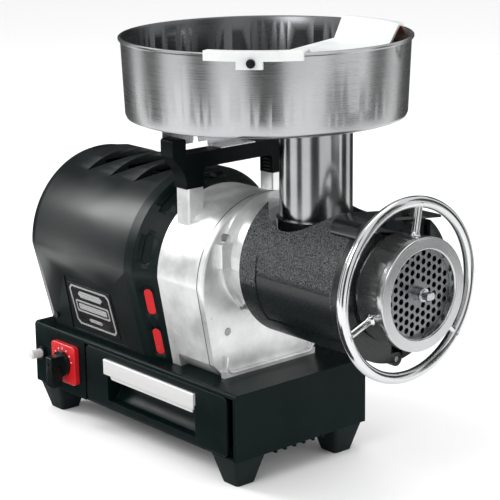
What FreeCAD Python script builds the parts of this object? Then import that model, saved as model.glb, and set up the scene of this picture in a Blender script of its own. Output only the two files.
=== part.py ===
"""Electric meat grinder with a hopper pan, built piece by piece.

Frame: origin on the bench in the machine's middle plane, midway between the tip of
the feed stud and the cord gland; +Z up, the ring nut and cutting plate face -Y, the
switch and the drawer are on the -X side.
Millimetres.  Every sub-part is one labelled object and one STEP file.
"""
import FreeCAD, Part, Sketcher
import math
import os
from FreeCAD import Vector, Placement, Rotation

doc = FreeCAD.newDocument("MeatGrinder")
sheet = doc.addObject("Spreadsheet::Sheet", "Sizes")

SIZES = [
    ("base_w", 193.9, "width of the base box"),
    ("base_l", 378.4, "length of the base box"),
    ("base_h", 75.8, "height of the base box"),
    ("foot_h", 33.8, "height of a foot"),
    ("sheet_t", 2.0, "base sheet thickness"),
    ("motor_rise", 102.5, "motor axis above the top of the base"),
    ("cover_r", 108.0, "round of the motor cover"),
    ("cover_l", 189.0, "length of the motor cover"),
    ("gearbox_r", 93.5, "round of the gearbox"),
    ("gearbox_l", 77.0, "length of the gearbox with its cover"),
    ("module_a", 1.5, "first stage tooth module"),
    ("module_b", 2.0, "second stage tooth module"),
    ("barrel_r", 56.0, "outside of the metal head"),
    ("bore_r", 47.5, "bore of the metal head"),
    ("plate_r", "=bore_r + 2.5", "cutting plate"),
    ("plate_t", 10.0, "cutting plate thickness"),
    ("jacket_r", "=barrel_r + 24", "outside of the head jacket"),
    ("nut_r", "=barrel_r + 3", "outside of the ring nut"),
    ("ring_r", "=nut_r + 31.9", "centre line of the hand ring"),
    ("ring_tube", 6.0, "hand ring rod radius"),
    ("stud_r", 7.0, "auger stud"),
    ("tube_r", 38.75, "outside of the throat tube"),
    ("tube_top", 153.8, "pan underside above the grinding axis"),
    ("pan_r", 155.0, "pan wall at the top"),
    ("pan_depth", 86.4, "pan depth"),
    ("pan_t", 1.5, "pan sheet"),
    ("guard_w", 90.0, "width of the finger guard strap"),
    ("handle_y", 103.0, "front of the handle behind the base front"),
    ("handle_d", 21.0, "depth of the handle"),
    ("drawer_l", 257.7, "length of the drawer front"),
    ("drawer_h", 68.0, "height of the drawer front"),
    ("switch_side", 48.0, "side of the switch plate"),
    ("fit", 0.05, "radial running fit"),
]
for row, (alias, value, note) in enumerate(SIZES, start=1):
    sheet.set(f"A{row}", alias)
    sheet.set(f"B{row}", str(value))
    sheet.set(f"C{row}", note)
    sheet.setAlias(f"B{row}", alias)
doc.recompute()


class Size:
    """A length that carries its number and the sheet expression behind it."""

    def __init__(self, number, text):
        self.number = number
        self.text = text

    def __add__(self, other):
        return Size(self.number + num(other), f"({self.text} + {words(other)})")

    def __radd__(self, other):
        return self + other

    def __sub__(self, other):
        return Size(self.number - num(other), f"({self.text} - {words(other)})")

    def __rsub__(self, other):
        return Size(num(other) - self.number, f"({words(other)} - {self.text})")

    def __mul__(self, other):
        return Size(self.number * num(other), f"({self.text} * {words(other)})")

    def __rmul__(self, other):
        return self * other

    def __truediv__(self, other):
        return Size(self.number / num(other), f"({self.text} / {words(other)})")

    def __neg__(self):
        return Size(-self.number, f"(-1 * {self.text})")


def num(value):
    return value.number if isinstance(value, Size) else float(value)


def words(value):
    return value.text if isinstance(value, Size) else f"{float(value):.6f}"


def size(alias):
    return Size(float(sheet.get(alias)), f"Sizes.{alias}")


base_w, base_l, base_h = size("base_w"), size("base_l"), size("base_h")
foot_h, sheet_t, fit = size("foot_h"), size("sheet_t"), size("fit")
cover_r, gearbox_r = size("cover_r"), size("gearbox_r")
barrel_r, bore_r, plate_r = size("barrel_r"), size("bore_r"), size("plate_r")
jacket_r, nut_r, tube_r = size("jacket_r"), size("nut_r"), size("tube_r")
pan_r, pan_t, stud_r = size("pan_r"), size("pan_t"), size("stud_r")
ring_r, ring_tube, plate_t = size("ring_r"), size("ring_tube"), size("plate_t")

top_z = foot_h + base_h
motor_z = top_z + size("motor_rise")
first_gap = size("module_a") * 26.0
second_gap = size("module_b") * 34.0
lay_z = motor_z - first_gap
grind_z = lay_z + second_gap
bar_top = motor_z + 140.85
pan_low = grind_z + size("tube_top")
pan_rim = pan_low + size("pan_depth")


# the origin lies midway between the tip of the feed stud and the cord gland
STUD_REACH, GLAND_REACH = 190.0, 9.0


def Y(back):
    """Model Y of a place given as the distance behind the base front face."""
    return back - base_l / 2 + (STUD_REACH - GLAND_REACH) / 2


# ---------------------------------------------------------------- helpers
FRONT = Rotation(Vector(1, 0, 0), 90)     # local Z points to the front, local Y up
REAR = Rotation(Vector(1, 0, 0), -90)     # local Z points to the rear
LEFT = Rotation(Vector(0, 1, 0), -90)     # local Z points to -X, local X up
UP = Rotation()
nodes = []


def bind(obj, path, value):
    if isinstance(value, Size):
        obj.setExpression(path, value.text)


def place(obj, x, y, z, turn=UP):
    obj.Placement = Placement(Vector(num(x), num(y), num(z)), turn)
    bind(obj, "Placement.Base.x", x)
    bind(obj, "Placement.Base.y", y)
    bind(obj, "Placement.Base.z", z)
    return obj


def keep(obj, label):
    """Marks an object as a finished sub-part under its own file name."""
    obj.Label = label
    nodes.append(obj)
    return obj


def solid(shape, label):
    """A sub-part whose form needs Part functions."""
    obj = doc.addObject("Part::Feature", label)
    obj.Shape = shape
    return keep(obj, label)


def new_body(label):
    body = doc.addObject("PartDesign::Body", label)
    return keep(body, label)


def sketch(body, role, lift=0.0):
    sk = body.newObject("Sketcher::SketchObject", "Sketch")
    plane = [f for f in body.Origin.OriginFeatures if f.Role == role][0]
    sk.AttachmentSupport = [(plane, "")]
    sk.MapMode = "FlatFace"
    sk.AttachmentOffset = Placement(Vector(0, 0, num(lift)), Rotation())
    bind(sk, "AttachmentOffset.Base.z", lift)
    return sk


def pin_point(sk, edge, x, y):
    """Ties the start of an edge (or a circle centre) to its place from the origin."""
    where = 3 if sk.Geometry[edge].TypeId == "Part::GeomCircle" else 1
    for kind, value in (("DistanceX", x), ("DistanceY", y)):
        number = sk.addConstraint(Sketcher.Constraint(kind, -1, 1, edge, where, num(value)))
        bind(sk, f"Constraints[{number}]", value)


def outline(sk, points):
    """Closed straight-sided outline with every corner placed."""
    first = sk.GeometryCount
    count = len(points)
    for k in range(count):
        a, b = points[k], points[(k + 1) % count]
        start = Vector(num(a[0]), num(a[1]), 0)
        end = Vector(num(b[0]), num(b[1]), 0)
        sk.addGeometry(Part.LineSegment(start, end))
    for k in range(count):
        sk.addConstraint(Sketcher.Constraint("Coincident", first + k, 2, first + (k + 1) % count, 1))
    for k, (x, y) in enumerate(points):
        pin_point(sk, first + k, x, y)


def circle(sk, x, y, r):
    edge = sk.addGeometry(Part.Circle(Vector(num(x), num(y), 0), Vector(0, 0, 1), num(r)))
    pin_point(sk, edge, x, y)
    number = sk.addConstraint(Sketcher.Constraint("Radius", edge, num(r)))
    bind(sk, f"Constraints[{number}]", r)


def oblong(x0, x1, y0, y1):
    return [(x0, y0), (x1, y0), (x1, y1), (x0, y1)]


def feature(body, kind, sk, length, reverse=False, both=False):
    part = body.newObject(kind, kind.split("::")[1])
    part.Profile = sk
    part.Length = num(length)
    bind(part, "Length", length)
    part.Reversed = reverse
    part.Midplane = both
    sk.Visibility = False
    return part


def pad(body, sk, length, reverse=False, both=False):
    return feature(body, "PartDesign::Pad", sk, length, reverse, both)


def pocket(body, sk, length, reverse=False, both=False):
    return feature(body, "PartDesign::Pocket", sk, length, reverse, both)


def turn_profile(body, points):
    """Full turn of a straight-sided profile (radius, height) about local Z."""
    sk = sketch(body, "XZ_Plane")
    outline(sk, points)
    part = body.newObject("PartDesign::Revolution", "Revolution")
    part.Profile = sk
    part.ReferenceAxis = (sk, ["V_Axis"])
    part.Angle = 360
    sk.Visibility = False
    return part


def turned(label, points, x, y, z, turn):
    body = new_body(label)
    turn_profile(body, points)
    return place(body, x, y, z, turn)


def ring_profile(inner, outer, low, high):
    return [(inner, low), (outer, low), (outer, high), (inner, high)]


def edges(shape, test):
    return [f"Edge{k}" for k, edge in enumerate(shape.Edges, start=1) if test(edge)]


def round_edges(body, radius, test, kind="PartDesign::Fillet"):
    doc.recompute()
    last = body.Tip
    part = body.newObject(kind, kind.split("::")[1])
    part.Base = (last, edges(last.Shape, test))
    if kind.endswith("Fillet"):
        part.Radius = radius
    else:
        part.Size = radius
    return part


def along(axis):
    """Edge test: straight and parallel to one axis (0 x, 1 y, 2 z)."""
    def test(edge):
        if edge.Curve.TypeId != "Part::GeomLine":
            return False
        return abs(edge.tangentAt(edge.FirstParameter)[axis]) > 0.999
    return test


def rod(r, start, end):
    """Plain round bar between two points, as a shape."""
    a = Vector(*[num(v) for v in start])
    b = Vector(*[num(v) for v in end])
    return Part.makeCylinder(num(r), (b - a).Length, a, b - a)


def block(x0, x1, y0, y1, z0, z1):
    low = Vector(num(x0), num(y0), num(z0))
    return Part.makeBox(num(x1) - low.x, num(y1) - low.y, num(z1) - low.z, low)


def prism(points, direction):
    """Flat polygon of 3-D points pushed along a direction."""
    corners = [Vector(*[num(v) for v in p]) for p in points]
    face = Part.Face(Part.makePolygon(corners + [corners[0]]))
    return face.extrude(Vector(*direction))


def joined(first, *others):
    shape = first
    for other in others:
        shape = shape.fuse(other)
    return shape.removeSplitter()


def less(first, *others):
    shape = first
    for other in others:
        shape = shape.cut(other)
    return shape


# ---------------------------------------------------------------- base box
# Folded sheet box, open below, rounded along its two long top edges.
base = new_body("base_housing")
sk = sketch(base, "XZ_Plane", -Y(base_l))
outline(sk, oblong(-base_w / 2, base_w / 2, foot_h, top_z))
pad(base, sk, base_l)
round_edges(base, 4.5, lambda e: along(1)(e) and e.Vertexes[0].Z > num(top_z) - 1)
sk = sketch(base, "XY_Plane", foot_h)
inner_w = base_w / 2 - sheet_t
outline(sk, oblong(-inner_w, inner_w, Y(sheet_t), Y(base_l - sheet_t)))
pocket(base, sk, base_h - sheet_t, reverse=True)
# drawer opening, switch hole and reset hole through the -X side
sk = sketch(base, "YZ_Plane", 6 - base_w / 2)
outline(sk, oblong(Y(4), Y(275), foot_h - 2, top_z - 4.8))
pocket(base, sk, 14)
sk = sketch(base, "YZ_Plane", 6 - base_w / 2)
outline(sk, oblong(Y(291), Y(331), top_z - 57, top_z - 17))
pocket(base, sk, 14)
sk = sketch(base, "YZ_Plane", 6 - base_w / 2)
circle(sk, Y(363), top_z - 37, 6.05)
pocket(base, sk, 14)
# round hole for the cord gland through the rear wall, wiring hole in the top
sk = sketch(base, "XZ_Plane", 8 - Y(base_l))
circle(sk, 40, foot_h + 24, 9.05)
pocket(base, sk, 14)
sk = sketch(base, "XY_Plane", top_z + 2)
circle(sk, 0, Y(250), 12)
pocket(base, sk, 8)
# two upright tabs that the motor cover is screwed to
for side in (-1, 1):
    sk = sketch(base, "XY_Plane", top_z - 1)
    outline(sk, oblong(side * 78.6, side * 75.6, Y(338), Y(352)))
    pad(base, sk, 21)
sk = sketch(base, "YZ_Plane")
circle(sk, Y(345), top_z + 12.5, 2)
pocket(base, sk, 180, both=True)

# Flat under-plate with stiffening ribs between the front feet.
plate = new_body("base_plate")
sk = sketch(plate, "XY_Plane", foot_h)
outline(sk, oblong(-inner_w, inner_w, Y(sheet_t), Y(base_l - sheet_t)))
pad(plate, sk, sheet_t)
for k in range(6):
    sk = sketch(plate, "XY_Plane", foot_h)
    x = -35 + 14 * k
    outline(sk, oblong(x - 1.5, x + 1.5, Y(4), Y(30)))
    pad(plate, sk, 5, reverse=True)

# Proud side sheet on the +X side, kicked outward along its lower edge.
panel_x = base_w / 2
panel = prism([(panel_x, Y(5), top_z - 8), (panel_x + 1.5, Y(5), top_z - 8),
               (panel_x + 1.5, Y(5), foot_h + 8), (panel_x + 5, Y(5), foot_h - 3),
               (panel_x + 3.5, Y(5), foot_h - 3), (panel_x, Y(5), foot_h + 7.5)],
              (0, num(base_l) - 10, 0))
solid(panel, "side_panel")

# Four tapered feet, each with a counterbore for its screw.
feet = []
foot_screws = []
foot_spots = [(sx * (num(base_w) / 2 - 24), num(y)) for sx in (-1, 1) for y in (Y(24), Y(base_l - 24))]
for x, y in foot_spots:
    tall = num(foot_h)
    low = Part.makePolygon([Vector(x + a, y + b, 0) for a, b in ((-13, -13), (13, -13), (13, 13), (-13, 13), (-13, -13))])
    high = Part.makePolygon([Vector(x + a, y + b, tall) for a, b in ((-22, -22), (22, -22), (22, 22), (-22, 22), (-22, -22))])
    foot = Part.makeLoft([low, high], True, True)
    slanted = [e for e in foot.Edges if abs(e.Vertexes[0].Z - e.Vertexes[1].Z) > 5]
    foot = foot.makeFillet(5, slanted)
    foot = foot.makeFillet(1.5, [e for e in foot.Edges if e.BoundBox.ZMax < 0.01])
    foot = less(foot, rod(7, (x, y, -1), (x, y, 18)), rod(3, (x, y, 0), (x, y, foot_h + 1)))
    feet.append(foot)
    screw = joined(rod(6, (x, y, 14), (x, y, 18)), rod(2.95, (x, y, 17), (x, y, foot_h + 1.9)))
    foot_screws.append(screw)
solid(Part.makeCompound(feet), "feet")
solid(Part.makeCompound(foot_screws), "foot_screws")
hole = plate.newObject("Sketcher::SketchObject", "ScrewHoles")
hole.AttachmentSupport = [([f for f in plate.Origin.OriginFeatures if f.Role == "XY_Plane"][0], "")]
hole.MapMode = "FlatFace"
hole.AttachmentOffset = Placement(Vector(0, 0, num(foot_h + sheet_t)), Rotation())
hole.setExpression("AttachmentOffset.Base.z", (foot_h + sheet_t).text)
for sx in (-1, 1):
    for y in (Y(24), Y(base_l - 24)):
        circle(hole, sx * (base_w / 2 - 24), y, 3)
pocket(plate, hole, sheet_t + 1)

# Sheet wall behind the drawer bay, and two angle runners on the under-plate
# that carry the drawer.
floor_z = foot_h + sheet_t
rails = [block(-inner_w, inner_w, Y(278), Y(279.5), floor_z, top_z - sheet_t)]
rail_x = base_w / 2 - 8.95
for inner, outer in ((30, 20.4), (258, 267.6)):
    lip = 1.5 if inner > outer else -1.5
    rails.append(joined(block(-rail_x, rail_x, Y(min(inner, outer)), Y(max(inner, outer)), floor_z, floor_z + 3),
                        block(-rail_x, rail_x, Y(min(outer, outer + lip)), Y(max(outer, outer + lip)), floor_z, floor_z + 14)))
solid(Part.makeCompound(rails), "drawer_rails")

# ---------------------------------------------------------------- drawer
# Moulded front with a wide finger opening and a hollow scoop behind it.
draw_x = -base_w / 2
front_z0 = foot_h + sheet_t + 0.2
front_z1 = front_z0 + size("drawer_h")
draw_y0, draw_y1 = Y(14.5), Y(14.5) + size("drawer_l")
panel = block(draw_x, draw_x + 4, draw_y0, draw_y1, front_z0, front_z1)
panel = panel.makeFillet(6, [e for e in panel.Edges if along(0)(e)])
panel = panel.makeFillet(1, [e for e in panel.Edges if e.BoundBox.XMax < num(draw_x) + 0.01])
scoop_z0, scoop_z1 = foot_h + 11.2, foot_h + 51.2
scoop_mid = (scoop_z0 + scoop_z1) / 2
scoop_r = 24.0
shell = block(draw_x + 3, draw_x + 24, Y(66), Y(233), scoop_z0 - 3, scoop_z1 + 3)
hollow = joined(rod(scoop_r, (draw_x - 3, Y(69), scoop_mid), (draw_x - 3, Y(230), scoop_mid)),
                block(draw_x - 1, draw_x + 9, Y(69), Y(230), scoop_z0, scoop_z1))
hollow = hollow.common(block(draw_x - 30, draw_x + 40, Y(69), Y(230), scoop_z0, scoop_z1))
front = less(joined(panel, shell), hollow)
solid(front, "drawer_front")
# Open-topped sheet tray behind the front.
tray_z0 = floor_z + 3 + fit
tray = block(draw_x + 24, base_w / 2 - 12, Y(22), Y(266), tray_z0, top_z - 8)
tray = less(tray, block(draw_x + 25.5, base_w / 2 - 13.5, Y(23.5), Y(264.5), tray_z0 + 1.5, top_z))
solid(tray, "drawer_tray")
# Pale pull strip along the top of the opening, with a lip turned in.
strip = joined(block(draw_x - 3.6, draw_x, Y(67), Y(233), foot_h + 48.2, foot_h + 62.2),
               block(draw_x - 3.6, draw_x - 1.6, Y(67), Y(233), foot_h + 43.8, foot_h + 50))
strip = strip.makeFillet(1.2, [e for e in strip.Edges if along(1)(e) and e.BoundBox.XMax < num(draw_x) - 3.5])
solid(strip, "drawer_strip")

# ---------------------------------------------------------------- switch and reset
switch_y, switch_z = Y(311), top_z - 37
plate = new_body("switch_plate")
half = size("switch_side") / 2
sk = sketch(plate, "XY_Plane")
outline(sk, oblong(-half, half, -half, half))
pad(plate, sk, 6.6)
round_edges(plate, 5, along(2))
round_edges(plate, 1.2, lambda e: e.BoundBox.ZMin > 6.5)
sk = sketch(plate, "XY_Plane", 6.6)
circle(sk, 0, 0, fit + 3)
pocket(plate, sk, 8)
place(plate, -base_w / 2, switch_y, switch_z, LEFT)
# Insulated switch block that clips through the square hole.
body = new_body("switch_body")
sk = sketch(body, "XY_Plane")
outline(sk, oblong(-19.8, 19.8, -19.8, 19.8))
pad(body, sk, 38, reverse=True)
for k in range(4):
    sk = sketch(body, "XY_Plane", -38)
    y = -13.5 + 9 * k
    outline(sk, oblong(-9, 9, y - 0.5, y + 0.5))
    pad(body, sk, 9, reverse=True)
sk = sketch(body, "XY_Plane", 1)
circle(sk, 0, 0, fit + 3)
pocket(body, sk, 16)
place(body, -base_w / 2, switch_y, switch_z, LEFT)
# Turn knob: round skirt, straight bar grip pointing down, spindle behind.
body = new_body("switch_knob")
sk = sketch(body, "XY_Plane", 6.7)
circle(sk, 0, 0, 15.5)
pad(body, sk, 5)
sk = sketch(body, "XY_Plane", 11.7)
outline(sk, oblong(-26.5, 11.5, -5.5, 5.5))
pad(body, sk, 16)
round_edges(body, 1.5, lambda e: e.BoundBox.ZMin > 27.6)
sk = sketch(body, "XY_Plane", 6.7)
circle(sk, 0, 0, 3)
pad(body, sk, 20, reverse=True)
sk = sketch(body, "XY_Plane", 27.7)
circle(sk, 2.4, 0, 1.6)
pocket(body, sk, 3)
place(body, -base_w / 2, switch_y, switch_z, LEFT)
# Overload reset: threaded breaker body with a collar outside the wall.
reset_y = Y(363)
turned("reset_breaker", [(3 + fit, -28), (11, -28), (11, -sheet_t), (6, -sheet_t), (6, 0), (8, 0), (8, 4),
                         (5.6, 4), (5.6, 0.2), (3 + fit, 0.2)],
       -base_w / 2, reset_y, switch_z, LEFT)
turned("reset_button", [(0, -16), (3, -16), (3, 3.6), (5.5, 3.6), (5.5, 17.4), (4.2, 19), (0, 19)],
       -base_w / 2, reset_y, switch_z, LEFT)

# Round strain-relief gland in the rear wall; the flex itself is not part of this.
turned("cord_gland", [(4.2, -9), (9, -9), (9, 0), (13, 0), (13, 3), (8, 9), (4.2, 9)],
       40, Y(base_l), foot_h + 24, REAR)

# ---------------------------------------------------------------- gearbox
MZ = num(motor_z)
COVER_LEAN = 0.254
GEAR_LEAN = 0.187


def section(r, lean, low, y):
    """Half circle over straight sides that lean in toward the base."""
    r, low, y = num(r), num(low), num(y)
    foot = r - lean * (MZ - low)
    a, b = Vector(r, y, MZ), Vector(-r, y, MZ)
    c, d = Vector(-foot, y, low), Vector(foot, y, low)
    arc = Part.Arc(a, Vector(0, y, MZ + r), b).toShape()
    return Part.Wire([arc, Part.makeLine(b, c), Part.makeLine(c, d), Part.makeLine(d, a)])


def housing_bar(r, lean, low, y0, y1):
    return Part.Face(section(r, lean, low, y0)).extrude(Vector(0, num(y1) - num(y0), 0))


def housing_cone(r0, lean0, y0, r1, lean1, y1, low):
    return Part.makeLoft([section(r0, lean0, low, y0), section(r1, lean1, low, y1)], True, True)


def bearing_seat(r, y0, y1, z):
    return rod(r, (0, y0, z), (0, y1, z))


gb_front = 57.0
gb_split = 65.0
gb_rear = gb_front + size("gearbox_l")
wall_y = gb_rear - 8
posts_xz = [(s * x, z) for s in (-1, 1) for x, z in ((61.0, 55.0), (35.6, -27.0), (57.7, -51.6))]
case = housing_bar(gearbox_r, GEAR_LEAN, top_z, Y(gb_split), Y(gb_rear))
room = housing_bar(gearbox_r - 6, GEAR_LEAN, top_z + 8, Y(gb_split - 1), Y(wall_y))
case = less(case, room)
for x, dz in posts_xz:
    case = joined(case, rod(5.5, (x, Y(gb_split), motor_z + dz), (x, Y(wall_y + 1), motor_z + dz)))
    case = less(case, rod(2.5, (x, Y(gb_split - 1), motor_z + dz), (x, Y(gb_split + 18), motor_z + dz)))
case = joined(case, bearing_seat(16, Y(wall_y - 4), Y(wall_y + 1), grind_z),
              bearing_seat(17, Y(wall_y - 4), Y(wall_y + 1), lay_z))
case = less(case, bearing_seat(14, Y(wall_y - 5), Y(wall_y + 6), grind_z),
            bearing_seat(14, Y(wall_y - 5), Y(wall_y + 6), lay_z),
            bearing_seat(10, Y(wall_y - 5), Y(gb_rear + 1), motor_z))
# two square posts on top carry the handle
handle_y, handle_d = size("handle_y"), size("handle_d")
post_top = motor_z + 102
for side in (-1, 1):
    x0, x1 = sorted((side * 50, side * 71.2))
    post = block(x0, x1, Y(handle_y), Y(handle_y + handle_d + 1), motor_z + 55, post_top)
    post = post.cut(housing_bar(gearbox_r - 3, GEAR_LEAN, top_z, Y(gb_split), Y(gb_rear)))
    post = post.makeFillet(2, [e for e in post.Edges if along(2)(e)])
    case = joined(case, post)
    case = less(case, rod(3, (side * 60.6, Y(handle_y + handle_d / 2), post_top - 18),
                          (side * 60.6, Y(handle_y + handle_d / 2), post_top + 1)))
# lower corners are bevelled in toward the base
for side in (-1, 1):
    case = less(case, prism([(side * 62, Y(50), top_z - 1), (side * 90, Y(50), top_z - 1),
                             (side * 90, Y(50), top_z + 22), (side * 77.8, Y(50), top_z + 16)], (0, 70, 0)))
solid(case, "gearbox_housing")

neck_r = barrel_r - 11
lid = housing_bar(gearbox_r, GEAR_LEAN, top_z, Y(gb_front), Y(gb_split))
rim = [e for e in lid.Edges if e.BoundBox.YMax < num(Y(gb_front)) + 0.01 and e.BoundBox.ZMax > MZ + 1]
lid = lid.makeFillet(4, rim)
for side in (-1, 1):
    lid = less(lid, prism([(side * 62, Y(50), top_z - 1), (side * 90, Y(50), top_z - 1),
                           (side * 90, Y(50), top_z + 22), (side * 77.8, Y(50), top_z + 16)], (0, 20, 0)))
flange = block(-67, 67, Y(52), Y(gb_front + 1), top_z, top_z + 7)
nose = rod(barrel_r + 4, (0, Y(28), grind_z), (0, Y(gb_front + 1), grind_z))
nose = nose.makeFillet(3, [e for e in nose.Edges if e.BoundBox.YMax < num(Y(28)) + 0.01])
collar = rod(barrel_r + 12, (0, Y(52), grind_z), (0, Y(gb_front + 1), grind_z))
pads = [block(s * 55 - 17, s * 55 + 17, Y(47), Y(gb_front + 1), grind_z - 8, grind_z + 21) for s in (-1, 1)]
pads = [p.makeFillet(3, [e for e in p.Edges if along(1)(e)]) for p in pads]
lid = joined(lid, flange, collar, nose, *pads)
lid = less(lid, rod(neck_r + fit, (0, Y(20), grind_z), (0, Y(41), grind_z)),
           rod(26, (0, Y(40), grind_z), (0, Y(44), grind_z)),
           rod(30, (0, Y(43), grind_z), (0, Y(gb_split + 1), grind_z)),
           bearing_seat(14, Y(59), Y(gb_split + 1), lay_z),
           rod(4, (neck_r - 5, Y(34), grind_z), (neck_r + 16, Y(34), grind_z)))
for x, dz in posts_xz:
    lid = less(lid, rod(2.5, (x, Y(50), motor_z + dz), (x, Y(gb_split + 1), motor_z + dz)),
               rod(4.5, (x, Y(50), motor_z + dz), (x, Y(gb_front + 3), motor_z + dz)))
solid(lid, "gearbox_cover")
screws = []
for x, dz in posts_xz:
    screws.append(joined(rod(4.4, (x, Y(gb_front), motor_z + dz), (x, Y(gb_front + 3), motor_z + dz)),
                         rod(2.45, (x, Y(gb_front + 2), motor_z + dz), (x, Y(gb_split + 17), motor_z + dz))))
# one more screw locks the neck of the head in the nose
screws.append(rod(3.95, (neck_r, Y(34), grind_z), (neck_r + 14, Y(34), grind_z)))
solid(Part.makeCompound(screws), "gearbox_screws")

turned("oil_seal", ring_profile(17.5, 29.95, 44, 50), 0, Y(0), grind_z, REAR)


def bearings(inner, outer, spans, z):
    """Ring bearings, one solid each, with a shallow groove in both faces."""
    rings = []
    mid = (inner + outer) / 2
    for y0, y1 in spans:
        ring = less(rod(outer, (0, Y(y0), z), (0, Y(y1), z)), rod(inner, (0, Y(y0 - 1), z), (0, Y(y1 + 1), z)))
        for a, b in ((y0 - 1, y0 + 0.8), (y1 - 0.8, y1 + 1)):
            groove = less(rod(mid + 2, (0, Y(a), z), (0, Y(b), z)), rod(mid - 2, (0, Y(a - 1), z), (0, Y(b + 1), z)))
            ring = less(ring, groove)
        rings.append(ring)
    return rings


GR = num(gb_rear)
races = bearings(17.5, 30, [(50, 65)], grind_z) + bearings(7.5, 14, [(GR - 12, GR - 2)], grind_z)
races += bearings(7.5, 14, [(59, 67), (GR - 12, GR - 2)], lay_z)
solid(Part.makeCompound(races), "gearbox_bearings")

# ---------------------------------------------------------------- gears and shafts


def gear(module, teeth, width, bore, slack=0.22):
    """Spur gear with involute flanks, one tooth centred on local X, axis local Z."""
    pitch = module * teeth / 2
    base_circle = pitch * math.cos(math.radians(20))
    tip = pitch + 0.95 * module
    root = pitch - 1.25 * module
    half_at_pitch = math.pi / (2 * teeth) - slack / (2 * pitch)
    inv20 = math.tan(math.radians(20)) - math.radians(20)

    def half_angle(r):
        if r <= base_circle:
            return half_at_pitch + inv20
        a = math.acos(base_circle / r)
        return half_at_pitch + inv20 - (math.tan(a) - a)

    radii = [root, max(root + 0.2, base_circle)]
    radii += [radii[1] + (tip - radii[1]) * k / 4 for k in (1, 2, 3, 4)]
    points = []
    for k in range(teeth):
        mid = 2 * math.pi * k / teeth
        for r in radii:
            points.append(Vector(r * math.cos(mid - half_angle(r)), r * math.sin(mid - half_angle(r)), 0))
        for r in reversed(radii):
            points.append(Vector(r * math.cos(mid + half_angle(r)), r * math.sin(mid + half_angle(r)), 0))
    blank = Part.Face(Part.makePolygon(points + [points[0]])).extrude(Vector(0, 0, width))
    if bore:
        blank = blank.cut(Part.makeCylinder(bore, width + 2, Vector(0, 0, -1)))
    return blank


def on_axis(shape, y, z, spin):
    """Stands a local-Z shape on a Y-going axis; spin is the angle of local X from +X."""
    turn = Placement(Vector(0, num(y), num(z)), REAR).multiply(Placement(Vector(), Rotation(Vector(0, 0, 1), spin)))
    shape.Placement = turn
    return shape


ma, mb = num(size("module_a")), num(size("module_b"))
# first stage: 14 teeth on the motor, 38 on the layshaft; second stage 18 into 50
lay_gear = on_axis(gear(ma, 38, 16, 8), Y(105), lay_z, -90 + 180 / 38)
lay_gear = less(lay_gear, *[rod(4, (16 * math.cos(a), Y(104), num(lay_z) + 16 * math.sin(a)),
                                (16 * math.cos(a), Y(122), num(lay_z) + 16 * math.sin(a)))
                            for a in [math.pi / 3 * k for k in range(6)]])
solid(lay_gear, "layshaft_gear")
lay_pinion = on_axis(gear(mb, 18, 22, 0), Y(75), lay_z, -90)
shaft = joined(rod(7.45, (0, Y(60), lay_z), (0, Y(75), lay_z)), lay_pinion,
               rod(7.95, (0, Y(97), lay_z), (0, Y(122), lay_z)), rod(7.45, (0, Y(121), lay_z), (0, Y(GR - 2.5), lay_z)))
solid(shaft, "layshaft")
big_gear = on_axis(gear(mb, 50, 22, 20.02), Y(75), grind_z, 90 + 180 / 50)
big_gear = less(big_gear, *[rod(7, (34 * math.cos(a), Y(74), num(grind_z) + 34 * math.sin(a)),
                                (34 * math.cos(a), Y(98), num(grind_z) + 34 * math.sin(a)))
                            for a in [math.pi / 3 * k for k in range(6)]])
solid(big_gear, "output_gear")
hexagon = [(11.5 * math.cos(math.pi / 3 * k), Y(29), num(grind_z) + 11.5 * math.sin(math.pi / 3 * k)) for k in range(6)]
shaft = joined(rod(17.45, (0, Y(29), grind_z), (0, Y(66), grind_z)), rod(20, (0, Y(66), grind_z), (0, Y(98), grind_z)),
               rod(12, (0, Y(98), grind_z), (0, Y(122), grind_z)), rod(7.45, (0, Y(121), grind_z), (0, Y(GR - 2.5), grind_z)))
shaft = less(shaft, prism(hexagon, (0, 22, 0)))
solid(shaft, "output_shaft")

# ---------------------------------------------------------------- motor
pinion = on_axis(gear(ma, 14, 16, 0), Y(105), motor_z, 90)
rotor = joined(pinion, rod(7.45, (0, Y(121), motor_z), (0, Y(343), motor_z)),
               rod(12, (0, Y(150), motor_z), (0, Y(299), motor_z)))
solid(rotor, "motor_shaft")
core = less(rod(41.5, (0, Y(182), motor_z), (0, Y(268), motor_z)), rod(12, (0, Y(180), motor_z), (0, Y(270), motor_z)))
for k in range(18):
    a = math.pi / 9 * k
    core = less(core, rod(1.6, (38 * math.cos(a), Y(180), MZ + 38 * math.sin(a)),
                          (38 * math.cos(a), Y(270), MZ + 38 * math.sin(a))))
solid(core, "rotor_core")
fan = joined(rod(12, (0, Y(318), motor_z), (0, Y(338), motor_z)), rod(76, (0, Y(318), motor_z), (0, Y(321), motor_z)))
for k in range(10):
    blade = block(10, 74, Y(320), Y(338), motor_z - 1, motor_z + 1)
    blade.rotate(Vector(0, 0, MZ), Vector(0, 1, 0), 36 * k)
    fan = joined(fan, blade)
fan = less(fan, rod(7.45, (0, Y(310), motor_z), (0, Y(345), motor_z)))
solid(fan, "cooling_fan")
stator = less(rod(80, (0, Y(180), motor_z), (0, Y(270), motor_z)), rod(42, (0, Y(179), motor_z), (0, Y(271), motor_z)))
solid(stator, "stator_core")
coils = [less(rod(74, (0, Y(a), motor_z), (0, Y(b), motor_z)), rod(49, (0, Y(a - 1), motor_z), (0, Y(b + 1), motor_z)))
         for a, b in ((160, 180), (270, 290))]
coils = [c.makeFillet(5, [e for e in c.Edges if e.Curve.TypeId == "Part::GeomCircle"
                                        and abs(e.BoundBox.YMin - num(Y(y))) < 0.01])
         for c, y in zip(coils, (160, 290))]
solid(Part.makeCompound(coils), "stator_windings")
rod_spots = [(86 * math.cos(math.radians(a)), 86 * math.sin(math.radians(a))) for a in (45, 135, 225, 315)]


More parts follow.
